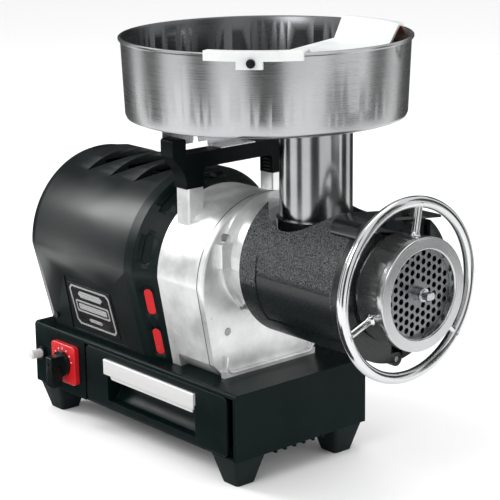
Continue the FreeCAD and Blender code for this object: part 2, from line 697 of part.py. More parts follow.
def end_bell(y0, y1, reach, ear0, ear1):
    """Cast end shield: rim that holds the stator, hub for a bearing, ears for the tie rods."""
    lo, hi = min(y0, reach), max(y1, reach)
    bell = rod(84, (0, Y(lo), motor_z), (0, Y(hi), motor_z))
    bell = less(bell, rod(80, (0, Y(y1 if reach > y1 else lo - 1), motor_z), (0, Y(hi + 1 if reach > y1 else y0), motor_z)))
    for x, dz in rod_spots:
        bell = joined(bell, rod(6, (x, Y(ear0), motor_z + dz), (x, Y(ear1), motor_z + dz)))
    return bell


bell = end_bell(136, 146, 186, 146, 156)
bell = joined(bell, rod(20, (0, Y(134), motor_z), (0, Y(148), motor_z)))
bell = less(bell, rod(16, (0, Y(138), motor_z), (0, Y(150), motor_z)), rod(10, (0, Y(133), motor_z), (0, Y(151), motor_z)))
ledge = block(-50, 50, Y(134), Y(146), top_z, motor_z - 76)
bell = joined(bell, ledge)
for x, dz in rod_spots:
    bell = less(bell, rod(3, (x, Y(130), motor_z + dz), (x, Y(190), motor_z + dz)))
solid(bell, "motor_bracket_front")
bell = end_bell(300, 308, 264, 296, 308)
bell = joined(bell, rod(20, (0, Y(298), motor_z), (0, Y(312), motor_z)), block(-50, 50, Y(296), Y(308), top_z, motor_z - 76))
bell = less(bell, rod(16, (0, Y(297), motor_z), (0, Y(310), motor_z)), rod(10, (0, Y(290), motor_z), (0, Y(313), motor_z)))
for x, dz in rod_spots:
    bell = less(bell, rod(3, (x, Y(260), motor_z + dz), (x, Y(312), motor_z + dz)))
solid(bell, "motor_bracket_rear")
rods = [joined(rod(2.95, (x, Y(146), motor_z + dz), (x, Y(309), motor_z + dz)),
               rod(5, (x, Y(308), motor_z + dz), (x, Y(312), motor_z + dz))) for x, dz in rod_spots]
solid(Part.makeCompound(rods), "tie_rods")
solid(Part.makeCompound(bearings(7.5, 16, [(138, 148), (300, 310)], motor_z)), "motor_bearings")

# ---------------------------------------------------------------- bezel and motor cover
BZ0, BZ1, BZ2 = gb_rear, gb_rear + 28, gb_rear + 43
bezel = joined(housing_cone(gearbox_r, GEAR_LEAN, Y(BZ0), cover_r, COVER_LEAN, Y(BZ1), top_z),
               housing_bar(cover_r, COVER_LEAN, top_z, Y(BZ1), Y(BZ2)))
inside = joined(housing_cone(gearbox_r - 3.4, GEAR_LEAN, Y(BZ0 - 0.02), cover_r - 3.2, COVER_LEAN, Y(BZ1), top_z - 1),
                housing_bar(cover_r - 3.2, COVER_LEAN, top_z - 1, Y(BZ1), Y(BZ2 + 1)))
bezel = less(bezel, inside)


def pill(long, wide, tall):
    """Stadium block, long axis local X, standing on local Z = 0."""
    mid = long - wide
    shape = Part.makeBox(mid, wide, tall, Vector(-mid / 2, -wide / 2, 0))
    for s in (-1, 1):
        shape = shape.fuse(Part.makeCylinder(wide / 2, tall, Vector(s * mid / 2, 0, 0)))
    return shape.removeSplitter()


def stand(shape, origin, x_axis, z_axis):
    y_axis = z_axis.cross(x_axis)
    shape.Placement = Placement(origin, Rotation(x_axis, y_axis, z_axis, "ZXY"))
    return shape


CR, GBR = num(cover_r), num(gearbox_r)
cone = math.atan2(CR - GBR, 28)
mid_r = (CR + GBR) / 2
pill_y = num(Y(gb_rear)) + 14
inlays = []
for deg in (18, 54, 90, 126, 162):
    a = math.radians(deg)
    normal = Vector(math.cos(a) * math.cos(cone), -math.sin(cone), math.sin(a) * math.cos(cone))
    spot = Vector(mid_r * math.cos(a), pill_y, MZ + mid_r * math.sin(a))
    bezel = bezel.cut(stand(pill(34, 11, 6), spot - normal * 2.0, Vector(-math.sin(a), 0, math.cos(a)), normal))
for side in (-1, 1):
    for low, high in ((117, 150), (166, 198)):
        z = num(top_z) + (low + high) / 2 - 109.6
        lean = (COVER_LEAN + GEAR_LEAN) / 2
        up = Vector(side * lean, 0, 1).normalize()
        spot = Vector(side * (mid_r - lean * (MZ - z)), pill_y, z)
        normal = Vector(side * math.cos(cone), -math.sin(cone), 0)
        normal = (normal - up * normal.dot(up)).normalize()
        bezel = bezel.cut(stand(pill(high - low, 11, 6), spot - normal * 2.0, up, normal))
        inlays.append(stand(pill(high - low - 0.4, 10.6, 1.4), spot - normal * 2.0, up, normal))
top_spot = Vector(0, pill_y, MZ + mid_r)
top_dir = Vector(0, -math.sin(cone), math.cos(cone))
bezel = bezel.cut(Part.makeCylinder(2, 12, top_spot - top_dir * 8, top_dir))
solid(bezel, "front_bezel")
solid(Part.makeCompound(inlays), "bezel_inlays")
cover_screws = [Part.makeCylinder(4, 2, top_spot - top_dir * 2.0, top_dir).fuse(
    Part.makeCylinder(1.95, 9, top_spot - top_dir * 10.5, top_dir))]

CV0, CV1 = gb_rear + 43, gb_rear + 43 + size("cover_l")
outer = joined(housing_bar(cover_r, COVER_LEAN, top_z, Y(CV0), Y(CV1 - 14)),
               housing_cone(cover_r, COVER_LEAN, Y(CV1 - 14), cover_r - 4.5, COVER_LEAN, Y(CV1), top_z))
inner = joined(housing_bar(cover_r - 2.5, COVER_LEAN, top_z - 1, Y(CV0 - 1), Y(CV1 - 14)),
               housing_cone(cover_r - 2.5, COVER_LEAN, Y(CV1 - 14), cover_r - 6.2, COVER_LEAN, Y(CV1 - 2.5), top_z - 1))
outer = less(outer, block(-60, 60, Y(CV1 - 54), Y(CV1 - 6), MZ + CR - 5, MZ + CR + 5))
inner = less(inner, block(-60, 60, Y(CV1 - 57), Y(CV1 - 3), MZ + CR - 7.5, MZ + CR + 5))
lips = [num(CV1) - 57 - 45 * k for k in range(3)]
crest = MZ + CR
for lip in lips:
    cut_out = prism([(-80, Y(lip - 36), crest), (-80, Y(lip), crest - 18), (-80, Y(lip), crest + 9),
                     (-80, Y(lip - 36), crest + 9)], (160, 0, 0))
    cut_in = prism([(-80, Y(lip - 41.6), crest), (-80, Y(lip + 2.5), crest - 22), (-80, Y(lip + 2.5), crest + 9),
                    (-80, Y(lip - 41.6), crest + 9)], (160, 0, 0))
    outer = less(outer, cut_out)
    inner = less(inner, cut_in)
cover = less(outer, inner)
for lip in lips:
    cover = less(cover, block(-32, 32, Y(lip - 0.5), Y(lip + 3), crest - 16, crest - 9.5))
# shallow side panels, each carrying a plain plate
recess_y, recess_z = num(CV0) + 30, num(top_z) + 2.4
window = prism([(-130, Y(recess_y), recess_z), (-130, Y(recess_y + 110), recess_z),
                (-130, Y(recess_y + 100), recess_z + 70), (-130, Y(recess_y + 10), recess_z + 70)], (260, 0, 0))
skin = less(housing_bar(cover_r + 2, COVER_LEAN, top_z, Y(CV0 + 20), Y(CV0 + 150)),
            housing_bar(cover_r - 1.2, COVER_LEAN, top_z - 1, Y(CV0 + 10), Y(CV0 + 160)))
cover = less(cover, skin.common(window))
plate_skin = less(housing_bar(cover_r - 0.2, COVER_LEAN, top_z, Y(CV0 + 20), Y(CV0 + 150)),
                  housing_bar(cover_r - 1.2, COVER_LEAN, top_z - 1, Y(CV0 + 10), Y(CV0 + 160)))
badges = [plate_skin.common(block(min(0, s * 130), max(0, s * 130), Y(recess_y + 12.5), Y(recess_y + 97.5),
                                  recess_z + 7, recess_z + 64)) for s in (-1, 1)]
for side in (-1, 1):
    z = num(top_z) + 12.5
    x = CR - COVER_LEAN * (MZ - z)
    cover = less(cover, rod(2, (side * (x - 6), Y(345), z), (side * (x + 3), Y(345), z)))
    cover_screws.append(joined(rod(4, (side * (x + 0.9), Y(345), z), (side * (x + 2.9), Y(345), z)),
                               rod(1.95, (side * (x + 1.5), Y(345), z), (side * 74.5, Y(345), z))))
solid(cover, "motor_cover")
solid(Part.makeCompound([b.Solids[0] for b in badges]), "name_plates")
solid(Part.makeCompound(cover_screws), "cover_screws")

# ---------------------------------------------------------------- handle
hz = post_top
curve = [(74, 0), (74.4, 10.6), (78.5, 21), (88, 32), (92, 39)]
right = Part.BSplineCurve()
right.interpolate([Vector(x, 0, dz) for x, dz in curve])
left = Part.BSplineCurve()
left.interpolate([Vector(-x, 0, dz) for x, dz in reversed(curve)])
corners = [(92, 39), (92, 56), (73.7, 56), (73.7, 38.85), (-73.7, 38.85), (-73.7, 56), (-92, 56), (-92, 39)]
lines = [Part.makeLine(Vector(a[0], 0, a[1]), Vector(b[0], 0, b[1])) for a, b in zip(corners, corners[1:])]
inner = [(-74, 0), (-49.6, 0), (-49.6, 21.4), (49.6, 21.4), (49.6, 0), (74, 0)]
lines += [Part.makeLine(Vector(a[0], 0, a[1]), Vector(b[0], 0, b[1])) for a, b in zip(inner, inner[1:])]
wire = Part.Wire(Part.__sortEdges__([right.toShape(), left.toShape()] + lines))
grip = Part.Face(wire).extrude(Vector(0, num(handle_d), 0))
grip = grip.makeFillet(5, [e for e in grip.Edges if along(1)(e) and abs(abs(e.BoundBox.XMin) - 49.6) < 0.1
                           and abs(e.BoundBox.ZMin - 21.4) < 0.1])
grip = grip.makeFillet(3, [e for e in grip.Edges if along(1)(e) and e.BoundBox.ZMin > 55.9])
grip.translate(Vector(0, num(Y(handle_y)), num(hz)))
stud_y = Y(handle_y + handle_d / 2)
for side in (-1, 1):
    grip = less(grip, rod(3, (side * 60.6, stud_y, hz - 1), (side * 60.6, stud_y, hz + 20)))
    # finger ridges cut in the inner face of each leg
    for k in range(4):
        z = hz + 3.5 + 4 * k
        grip = less(grip, rod(1.3, (side * 49.6, Y(handle_y + 3), z), (side * 49.6, Y(handle_y + handle_d - 3), z)))
solid(grip, "handle")
solid(Part.makeCompound([rod(2.97, (s * 60.6, stud_y, post_top - 17.5), (s * 60.6, stud_y, hz + 19)) for s in (-1, 1)]),
      "handle_studs")

# ---------------------------------------------------------------- metal head and grinding set
# heights below run forward from the base front face along the grinding axis
GZ = num(grind_z)
plate_back = 162.0
throat_y = Y(-22.7)
pin_x, pin_z = 3.5, grind_z - jacket_r + 2
tube_foot, throat_top = grind_z + barrel_r - 6, grind_z + barrel_r + 7
head = joined(rod(neck_r, (0, Y(41), grind_z), (0, Y(9), grind_z)),
              rod(barrel_r, (0, Y(10), grind_z), (0, Y(-140), grind_z)),
              rod(barrel_r - 2, (0, Y(-139), grind_z), (0, Y(-170), grind_z)),
              rod(tube_r + 4, (0, throat_y, grind_z), (0, throat_y, tube_foot + 4.5)),
              rod(7.5, (pin_x, Y(-121.2), pin_z), (pin_x, Y(-130.8), pin_z)),
              block(pin_x - 7.5, pin_x + 7.5, Y(-130.8), Y(-121.2), pin_z, grind_z - barrel_r + 6))
head = less(head, rod(bore_r, (0, Y(0), grind_z), (0, Y(-171), grind_z)),
            rod(21, (0, Y(42), grind_z), (0, Y(-1), grind_z)),
            rod(plate_r + fit, (0, Y(-plate_back), grind_z), (0, Y(-171), grind_z)),
            rod(tube_r - 2.6, (0, throat_y, grind_z), (0, throat_y, throat_top)),
            rod(tube_r, (0, throat_y, tube_foot), (0, throat_y, throat_top)),
            rod(3, (pin_x, Y(-121), pin_z), (pin_x, Y(-131), pin_z)))
solid(head, "head")
tube = less(rod(tube_r, (0, throat_y, tube_foot), (0, throat_y, pan_low)),
            rod(tube_r - 2.6, (0, throat_y, tube_foot - 1), (0, throat_y, pan_low + 1)))
solid(tube, "throat_tube")

# Cutting plate: round holes in a close honeycomb about a plain centre.
body = new_body("cutting_plate")
sk = sketch(body, "XY_Plane")
circle(sk, 0, 0, plate_r)
pad(body, sk, plate_t)
sk = sketch(body, "XY_Plane", plate_t)
circle(sk, 0, 0, stud_r + fit)
pitch = 9.05
for col in range(-6, 7):
    for row in range(-6, 7):
        x = col * pitch * math.sqrt(3) / 2
        z = (row + 0.5 * (col % 2)) * pitch
        if 15.5 < math.hypot(x, z) < num(plate_r) - 6.9:
            circle(sk, x, z, 3.0)
pocket(body, sk, plate_t + 1)
place(body, 0, Y(-plate_back), grind_z, FRONT)

# Four-armed knife just behind the plate.
knife = rod(13, (0, Y(-152), grind_z), (0, Y(-161.9), grind_z))
for k in range(4):
    arm = prism([(0, Y(-154), GZ - 7), (0, Y(-161.9), GZ - 7), (0, Y(-161.9), GZ + 3), (0, Y(-154), GZ + 7)], (46, 0, 0))
    arm.rotate(Vector(0, 0, GZ), Vector(0, 1, 0), 90 * k + 20)
    knife = joined(knife, arm)
knife = less(knife, rod(stud_r, (0, Y(-150), grind_z), (0, Y(-164), grind_z)))
solid(knife, "knife")

# Feed auger: tapered core with one helical flight, hexagon tail in the shaft socket.
tail = prism([(11.4 * math.cos(math.pi / 3 * k), Y(49), GZ + 11.4 * math.sin(math.pi / 3 * k)) for k in range(6)],
             (0, -23, 0))
core = Part.makeCone(17, 13, 150, Vector(0, num(Y(-1)), GZ), Vector(0, -1, 0))
auger = joined(tail, rod(20, (0, Y(28.5), grind_z), (0, Y(-1.5), grind_z)), core)
flight_r = num(bore_r) - 0.8
helix = Part.makeHelix(42, 134, flight_r)
profile = Part.makePolygon([Vector(10, 0, -3), Vector(flight_r, 0, -2), Vector(flight_r, 0, 2), Vector(10, 0, 3),
                            Vector(10, 0, -3)])
flight = Part.Wire(helix.Edges).makePipeShell([profile], True, True)
flight.Placement = Placement(Vector(0, num(Y(-8)), GZ), FRONT)
auger = auger.fuse(flight)
auger = less(auger, rod(stud_r, (0, Y(-134), grind_z), (0, Y(-153), grind_z)),
             rod(60, (0, Y(-150.5), grind_z), (0, Y(-160), grind_z)))
solid(auger, "auger")
stud = joined(rod(stud_r, (0, Y(-134.5), grind_z), (0, Y(-181), grind_z)),
              rod(stud_r - 1.6, (0, Y(-180), grind_z), (0, Y(-STUD_REACH), grind_z)))
stud = less(stud, block(-9, 9, Y(-192), Y(-183), grind_z + 3.6, grind_z + 9),
            block(-9, 9, Y(-192), Y(-183), grind_z - 9, grind_z - 3.6))
solid(stud, "auger_stud")

# Ring nut that clamps the plate, with a rod hand ring on three spokes.
nut = new_body("ring_nut")
thread_r = barrel_r - 2 + fit
turn_profile(nut, [(thread_r, 143), (nut_r - 2, 143), (nut_r - 2, 170), (nut_r, 171.8), (nut_r, 179.5),
                   (nut_r - 1, 180.5), (nut_r - 12, 180.5), (nut_r - 13.25, 179.3), (nut_r - 13.25, 172), (thread_r, 172)])
place(nut, 0, Y(0), grind_z, FRONT)
hoop = Part.makeTorus(num(ring_r), num(ring_tube), Vector(0, num(Y(-158)), GZ), Vector(0, 1, 0))
for deg in (80.5, 200.5, 320.5):
    a = math.radians(deg)
    start = num(nut_r) - 3
    hoop = joined(hoop, rod(5, (start * math.cos(a), Y(-158), GZ + start * math.sin(a)),
                            (num(ring_r) * math.cos(a), Y(-158), GZ + num(ring_r) * math.sin(a))))
hoop = less(hoop, rod(nut_r - 2, (0, Y(-140), grind_z), (0, Y(-176), grind_z)))
solid(hoop, "hand_ring")

# ---------------------------------------------------------------- head jacket
J = num(jacket_r)
latch_x, CZ = -43, GZ + J - 18
pin_z = num(pin_z)
shell = less(rod(J, (0, Y(10), grind_z), (0, Y(-140), grind_z)),
             rod(J - 3.5, (0, Y(6), grind_z), (0, Y(-136), grind_z)),
             rod(barrel_r + 0.4, (0, Y(11), grind_z), (0, Y(-141), grind_z)))
shell = less(shell, rod(tube_r + 23.25, (0, Y(-39), grind_z), (0, Y(-39), grind_z + 100)))
skin = less(rod(J + 2, (0, Y(-15), grind_z), (0, Y(-128), grind_z)), rod(J - 1, (0, Y(0), grind_z), (0, Y(-135), grind_z)))
window = [block(min(0, s * 95), max(0, s * 95), Y(-128), Y(-15), GZ - 49, GZ + 21) for s in (-1, 1)]
shell = less(shell, *[skin.common(w) for w in window])
knuckle_room = joined(rod(8.2, (pin_x, Y(-111.6), pin_z), (pin_x, Y(-141), pin_z)),
                      block(pin_x - 8.2, pin_x + 8.2, Y(-141), Y(-111.6), pin_z, pin_z + 22))
shell = less(shell, knuckle_room)
pack = less(rod(J - 4.2, (0, Y(5.2), grind_z), (0, Y(-129.5), grind_z)), rod(barrel_r + 0.4, (0, Y(6), grind_z), (0, Y(-130), grind_z)),
            rod(tube_r + 24.25, (0, Y(-39), grind_z), (0, Y(-39), grind_z + 100)), knuckle_room,
            rod(14, (latch_x, Y(-86), CZ), (latch_x, Y(-141), CZ)))
# below the pin the halves stand further apart, so that their lips clear as they swing
near_zone = joined(block(-J - 15, -30, Y(-145), Y(15), GZ, GZ + J + 15),
                   block(-J - 15, pin_x - 0.4, Y(-145), Y(15), pin_z, GZ),
                   block(-J - 15, pin_x - 2.2, Y(-145), Y(15), GZ - J - 15, pin_z))
far_zone = joined(block(51, J + 15, Y(-145), Y(15), GZ, GZ + J + 15),
                  block(pin_x + 0.4, J + 15, Y(-145), Y(15), pin_z, GZ),
                  block(pin_x + 2.2, J + 15, Y(-145), Y(15), GZ - J - 15, pin_z))


def knuckle(y0, y1, side):
    lug = joined(rod(7.5, (pin_x, Y(y0), pin_z), (pin_x, Y(y1), pin_z)),
                 block(min(pin_x, pin_x + side * 13), max(pin_x, pin_x + side * 13), Y(min(y0, y1)), Y(max(y0, y1)), pin_z, pin_z + 7.5))
    return lug


near = shell.common(near_zone)
boss = rod(9, (latch_x, Y(-102.6), CZ), (latch_x, Y(-88), CZ)).common(rod(J - 1, (0, Y(-80), grind_z), (0, Y(-110), grind_z)))
near = less(near, rod(12.5, (latch_x, Y(-102.6), CZ), (latch_x, Y(-142), CZ)),
            block(-52, -25, Y(-142), Y(-102.6), GZ + 68, GZ + 90))
near = joined(near, boss, knuckle(-140, -131, -1))
near = less(near, rod(3 + num(fit), (latch_x, Y(-80), CZ), (latch_x, Y(-104), CZ)),
            rod(3 + num(fit), (pin_x, Y(-130), pin_z), (pin_x, Y(-141), pin_z)))
solid(near, "jacket_near")
far = joined(shell.common(far_zone), knuckle(-121, -112, 1))
far = less(far, rod(3 + num(fit), (pin_x, Y(-111), pin_z), (pin_x, Y(-122), pin_z)))
solid(far, "jacket_far")
solid(pack.common(block(-95, -31, Y(-145), Y(15), GZ, GZ + 95).fuse(block(-95, -10, Y(-145), Y(15), GZ - 95, GZ)).removeSplitter()),
      "cold_pack_near")
solid(pack.common(block(52, 95, Y(-145), Y(15), GZ, GZ + 95).fuse(block(17, 95, Y(-145), Y(15), GZ - 95, GZ)).removeSplitter()),
      "cold_pack_far")
solid(rod(3, (pin_x, Y(-112.5), pin_z), (pin_x, Y(-139.5), pin_z)), "jacket_pin")

# Sprung cover plate over the gap between the halves, on a round barrel.
barrel = joined(rod(12, (latch_x, Y(-103), CZ), (latch_x, Y(-140), CZ)), rod(3, (latch_x, Y(-90), CZ), (latch_x, Y(-104), CZ)))
flap = prism([(latch_x, Y(-103), CZ + 9), (-30, Y(-103), CZ + 10.8), (67, Y(-103), CZ - 0.4), (67, Y(-103), CZ + 2.6),
              (-30, Y(-103), CZ + 13.8), (latch_x, Y(-103), CZ + 12)], (0, -37, 0))
clamp = joined(barrel, flap)
knob_x, knob_y = 25.5, Y(-132.5)
clamp = less(clamp, rod(3 + num(fit), (knob_x, knob_y, CZ - 5), (knob_x, knob_y, CZ + 20)))
solid(clamp, "clamp_plate")
knob = joined(rod(7, (knob_x, knob_y, CZ + 8.6), (knob_x, knob_y, CZ + 15.6)), rod(3, (knob_x, knob_y, CZ - 0.5), (knob_x, knob_y, CZ + 9)),
              rod(5.5, (knob_x, knob_y, CZ - 1), (knob_x, knob_y, CZ + 2)))
knob = knob.makeFillet(1.2, [e for e in knob.Edges if e.BoundBox.ZMin > CZ + 15.5])
solid(knob, "clamp_knob")

# ---------------------------------------------------------------- pan, bracket and guard
pan = new_body("pan")
low, rim = pan_low, pan_rim
turn_profile(pan, [(0, low), (pan_r - 8, low), (pan_r - 4.6, low + 1.2), (pan_r - 3.2, low + 4.4), (pan_r, rim - 4),
                   (pan_r + 1.6, rim - 4), (pan_r + 2.5, rim - 2.9), (pan_r + 2.5, rim - 1), (pan_r + 1.5, rim),
                   (pan_r - 0.2, rim), (pan_r - pan_t, rim - 1.4), (pan_r - 3.2 - pan_t, low + 5),
                   (pan_r - 5.4, low + 2.3), (pan_r - 8, low + pan_t), (0, low + pan_t)])
sk = sketch(pan, "XY_Plane", low)
circle(sk, 0, -77.9, tube_r - 2.65)
pad(pan, sk, 20, reverse=True)
sk = sketch(pan, "XY_Plane", low + 5)
circle(sk, 0, -77.9, tube_r - 4.2)
pocket(pan, sk, 30)
place(pan, 0, Y(55.2), 0)

brk_y = handle_y + handle_d + 1
brk = prism([(-88, Y(brk_y), bar_top + 6), (-46, Y(brk_y), bar_top + 6), (-25, Y(brk_y), bar_top + 6), (-25, Y(brk_y), bar_top),
             (25, Y(brk_y), bar_top), (25, Y(brk_y), bar_top + 6), (88, Y(brk_y), bar_top + 6), (88, Y(brk_y), pan_low),
             (-88, Y(brk_y), pan_low)], (0, 1.5, 0))
for s in (-1, 1):
    brk = less(brk, prism([(s * 42 - 5, Y(brk_y - 1), bar_top + 5), (s * 42 + 5, Y(brk_y - 1), bar_top + 5),
                           (s * 42 + 3.2, Y(brk_y - 1), bar_top + 9), (s * 42 + 3.2, Y(brk_y - 1), bar_top + 15),
                           (s * 42 - 3.2, Y(brk_y - 1), bar_top + 15), (s * 42 - 3.2, Y(brk_y - 1), bar_top + 9)], (0, 4, 0)))
foot = block(-25, 25, Y(handle_y), Y(brk_y + 0.5), bar_top, bar_top + 1.5)
solid(joined(brk, foot), "pan_bracket")

# Finger guard: a strap across the pan whose ends hook over the rim.
PR, RZ = num(pan_r), num(pan_rim)
pan_mid = Vector(0, num(Y(55.2)), 0)
cross = [(0, RZ - 22.4), (PR - 23, RZ - 22.4), (PR - 2.6, RZ), (PR + 5.2, RZ), (PR + 5.2, RZ + 2.6), (PR - 4.4, RZ + 2.6),
         (PR - 24.4, RZ - 19.9), (0, RZ - 19.9)]
strap = Part.Face(Part.makePolygon([Vector(r, 0, z) for r, z in cross + cross[:1]])).revolve(Vector(), Vector(0, 0, 1), 360)
hook = less(Part.makeCylinder(PR + 5.2, 10, Vector(0, 0, RZ - 7.4)), Part.makeCylinder(PR + 2.8, 12, Vector(0, 0, RZ - 8)))
strap = joined(strap, hook)
half_w = num(size("guard_w")) / 2
run = Part.makeBox(400, 2 * half_w, 80, Vector(-200, -half_w - 61.7, RZ - 50))
tabs = [less(Part.makeCylinder(PR + 5.2, 18, Vector(0, 0, RZ - 15.4)), Part.makeCylinder(PR + 2.8, 20, Vector(0, 0, RZ - 16)))]
tab_run = Part.makeBox(400, 24, 80, Vector(-200, -12 - 61.7, RZ - 50))
tongue = tabs[0].common(tab_run)
strap = strap.common(run)
strap = joined(strap, tongue)
knobs = []
for s in (-1, 1):
    a = math.atan2(-61.7, s * math.sqrt(PR ** 2 - 61.7 ** 2))
    out = Vector(math.cos(a), math.sin(a), 0)
    knobs.append((s, out))
    strap = strap.cut(Part.makeCylinder(2.05, 12, out * (PR - 2) + Vector(0, 0, RZ - 9), out))
guard_turn = Placement(pan_mid, Rotation(Vector(0, 0, 1), 20))
strap.transformShape(guard_turn.toMatrix())
solid(strap, "guard")
for s, out in knobs:
    stem = Part.makeCylinder(2, 8, out * (PR + 0.5) + Vector(0, 0, RZ - 9), out)
    head_k = Part.makeCylinder(4.6, 4, out * (PR + 5.4) + Vector(0, 0, RZ - 9), out)
    head_k = head_k.makeFillet(1, [e for e in head_k.Edges if e.Curve.TypeId == "Part::GeomCircle"][:1])
    thumb = stem.fuse(head_k).removeSplitter()
    thumb.transformShape(guard_turn.toMatrix())
    solid(thumb, "guard_knob_near" if s < 0 else "guard_knob_far")

# ---------------------------------------------------------------- write the files
doc.recompute()
os.makedirs("parts", exist_ok=True)
for obj in doc.Objects:
    if "Invalid" in obj.State or "Error" in obj.State:
        raise RuntimeError(f"{obj.Name} did not rebuild")
for node in nodes:
    if node.Shape.isNull() or not node.Shape.isValid() or not node.Shape.Solids:
        raise RuntimeError(f"{node.Label} has no sound solid")
    node.Shape.exportStep(f"parts/{node.Label}.step")
    print(node.Label, len(node.Shape.Solids), round(node.Shape.Volume / 1000, 2))
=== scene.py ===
import bpy
import bmesh
import math
from mathutils import Matrix, Vector


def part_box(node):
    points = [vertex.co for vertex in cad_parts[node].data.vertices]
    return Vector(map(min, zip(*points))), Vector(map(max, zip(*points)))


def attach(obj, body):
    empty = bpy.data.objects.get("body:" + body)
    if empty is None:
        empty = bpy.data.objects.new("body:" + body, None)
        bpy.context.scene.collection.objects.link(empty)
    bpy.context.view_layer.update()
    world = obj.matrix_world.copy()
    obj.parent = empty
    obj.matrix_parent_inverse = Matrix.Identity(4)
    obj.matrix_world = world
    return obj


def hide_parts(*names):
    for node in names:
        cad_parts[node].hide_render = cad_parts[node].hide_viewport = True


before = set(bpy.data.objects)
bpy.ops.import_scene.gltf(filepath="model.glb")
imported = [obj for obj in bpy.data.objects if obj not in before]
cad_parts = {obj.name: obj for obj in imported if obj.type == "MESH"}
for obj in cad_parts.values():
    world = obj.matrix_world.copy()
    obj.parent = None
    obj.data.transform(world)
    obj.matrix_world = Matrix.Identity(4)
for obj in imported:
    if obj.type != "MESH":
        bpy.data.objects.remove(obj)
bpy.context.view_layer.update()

# --- Studio ------------------------------------------------------------------
# A plain pale floor of paper, four soft boxes, cards for the polished metal to
# reflect, and a long-lens camera on the switch side, a little above the ring nut.


class Flow:
    """A number or colour running through a finish; arithmetic on it adds Math nodes."""

    def __init__(self, finish, socket):
        self.finish = finish
        self.socket = socket

    def maths(self, how, *others):
        inputs = dict(enumerate((self,) + others))
        return self.finish.make("ShaderNodeMath", {"operation": how}, inputs)

    def __add__(self, other):
        return self.maths("ADD", other)

    __radd__ = __add__

    def __sub__(self, other):
        return self.maths("SUBTRACT", other)

    def __rsub__(self, other):
        return (self * -1.0) + other

    def __mul__(self, other):
        return self.maths("MULTIPLY", other)

    __rmul__ = __mul__


NOISE_LOW, NOISE_HIGH = 0.3, 0.7


class Finish:
    """One node material, built from the finish's own textures."""

    def __init__(self, name):
        self.material = bpy.data.materials.new(name)
        self.material.use_nodes = True
        self.tree = self.material.node_tree
        self.tree.nodes.clear()

    def make(self, kind, settings=None, inputs=None, output=0):
        node = self.tree.nodes.new(kind)
        for name, value in (settings or {}).items():
            setattr(node, name, value)
        for name, value in (inputs or {}).items():
            if isinstance(value, Flow):
                self.tree.links.new(value.socket, node.inputs[name])
            elif value is not None:
                node.inputs[name].default_value = value
        return Flow(self, node.outputs[output]) if node.outputs else node

    def place(self, centre=(0.0, 0.0, 0.0), stretch=(1.0, 1.0, 1.0)):
        """Object coordinates measured from a centre and stretched along each axis."""
        spot = self.make("ShaderNodeTexCoord", output="Object")
        spot = self.make("ShaderNodeVectorMath", {"operation": "SUBTRACT"}, {0: spot, 1: centre})
        return self.make("ShaderNodeVectorMath", {"operation": "MULTIPLY"}, {0: spot, 1: stretch})

    def noise(self, scale, where=None, detail=3.0, rough=0.5):
        where = where or self.place()
        return self.make("ShaderNodeTexNoise", None,
                         {"Vector": where, "Scale": scale, "Detail": detail, "Roughness": rough})

    def range(self, value, low, high, to_low, to_high):
        return self.make("ShaderNodeMapRange", None,
                         {"Value": value, "From Min": low, "From Max": high, "To Min": to_low,
                          "To Max": to_high})

    def vary(self, noise, low, high):
        """A value that wanders from low to high with a noise."""
        return self.range(noise, NOISE_LOW, NOISE_HIGH, low, high)

    def blend(self, amount, first, second):
        """Mixes two colours; 6, 7 and 2 are the Mix node's colour sockets."""
        inputs = {"Factor": amount, 6: first, 7: second}
        return self.make("ShaderNodeMix", {"data_type": "RGBA"}, inputs, 2)

    def tone(self, field, low, high, dark, light):
        """A colour that goes from dark to light as the field rises from low to high."""
        return self.blend(self.range(field, low, high, 0.0, 1.0), dark, light)

    def bump(self, height, depth, strength=1.0, under=None):
        return self.make("ShaderNodeBump", None,
                         {"Height": height, "Distance": depth, "Strength": strength,
                          "Normal": under})

    def surface(self, colour, roughness, metallic=0.0, normal=None, **constants):
        inputs = {"Base Color": colour, "Roughness": roughness, "Metallic": metallic,
                  "Normal": normal}
        inputs.update({name.replace("_", " "): value for name, value in constants.items()})
        shader = self.make("ShaderNodeBsdfPrincipled", None, inputs)
        self.make("ShaderNodeOutputMaterial", None, {"Surface": shader})
        return self.material


paper = Finish("studio_paper")
paper_tone = paper.vary(paper.noise(3.0), 0.86, 0.90)
paper.surface((0.90, 0.90, 0.90, 1.0), paper_tone)


def as_piece(name, shape, material):
    """Turns a finished bmesh into a linked object with one material."""
    mesh = bpy.data.meshes.new(name)
    shape.to_mesh(mesh)
    shape.free()
    mesh.materials.append(material)
    piece = bpy.data.objects.new(name, mesh)
    bpy.context.scene.collection.objects.link(piece)
    return piece


FLOOR_R = 9.0
floor_disc = bmesh.new()
bmesh.ops.create_circle(floor_disc, cap_ends=True, segments=96, radius=FLOOR_R)
floor = as_piece("paper_floor", floor_disc, paper.material)

world = bpy.data.worlds.new("studio_air")
world.use_nodes = True
world.node_tree.nodes["Background"].inputs["Color"].default_value = (1.0, 1.0, 1.0, 1.0)
world.node_tree.nodes["Background"].inputs["Strength"].default_value = 1.0
bpy.context.scene.world = world
bpy.context.scene.view_settings.view_transform = "Standard"

# Cards and floor sheets that are seen only in reflections, as in a product studio.
black_paper = Finish("black_card")
black_paper.surface((0.012, 0.013, 0.013, 1), black_paper.vary(black_paper.noise(30.0), 0.8, 0.9))
grey_paper = Finish("grey_card")
grey_paper.surface((0.10, 0.10, 0.10, 1), grey_paper.vary(grey_paper.noise(30.0), 0.8, 0.9))


def hang_card(name, corners, finish):
    """A flat sheet that only reflections show."""
    sheet = bmesh.new()
    sheet.faces.new([sheet.verts.new(c) for c in corners])
    holder = as_piece(name, sheet, finish.material)
    for sees in ("visible_camera", "visible_diffuse", "visible_shadow", "visible_transmission"):
        setattr(holder, sees, False)


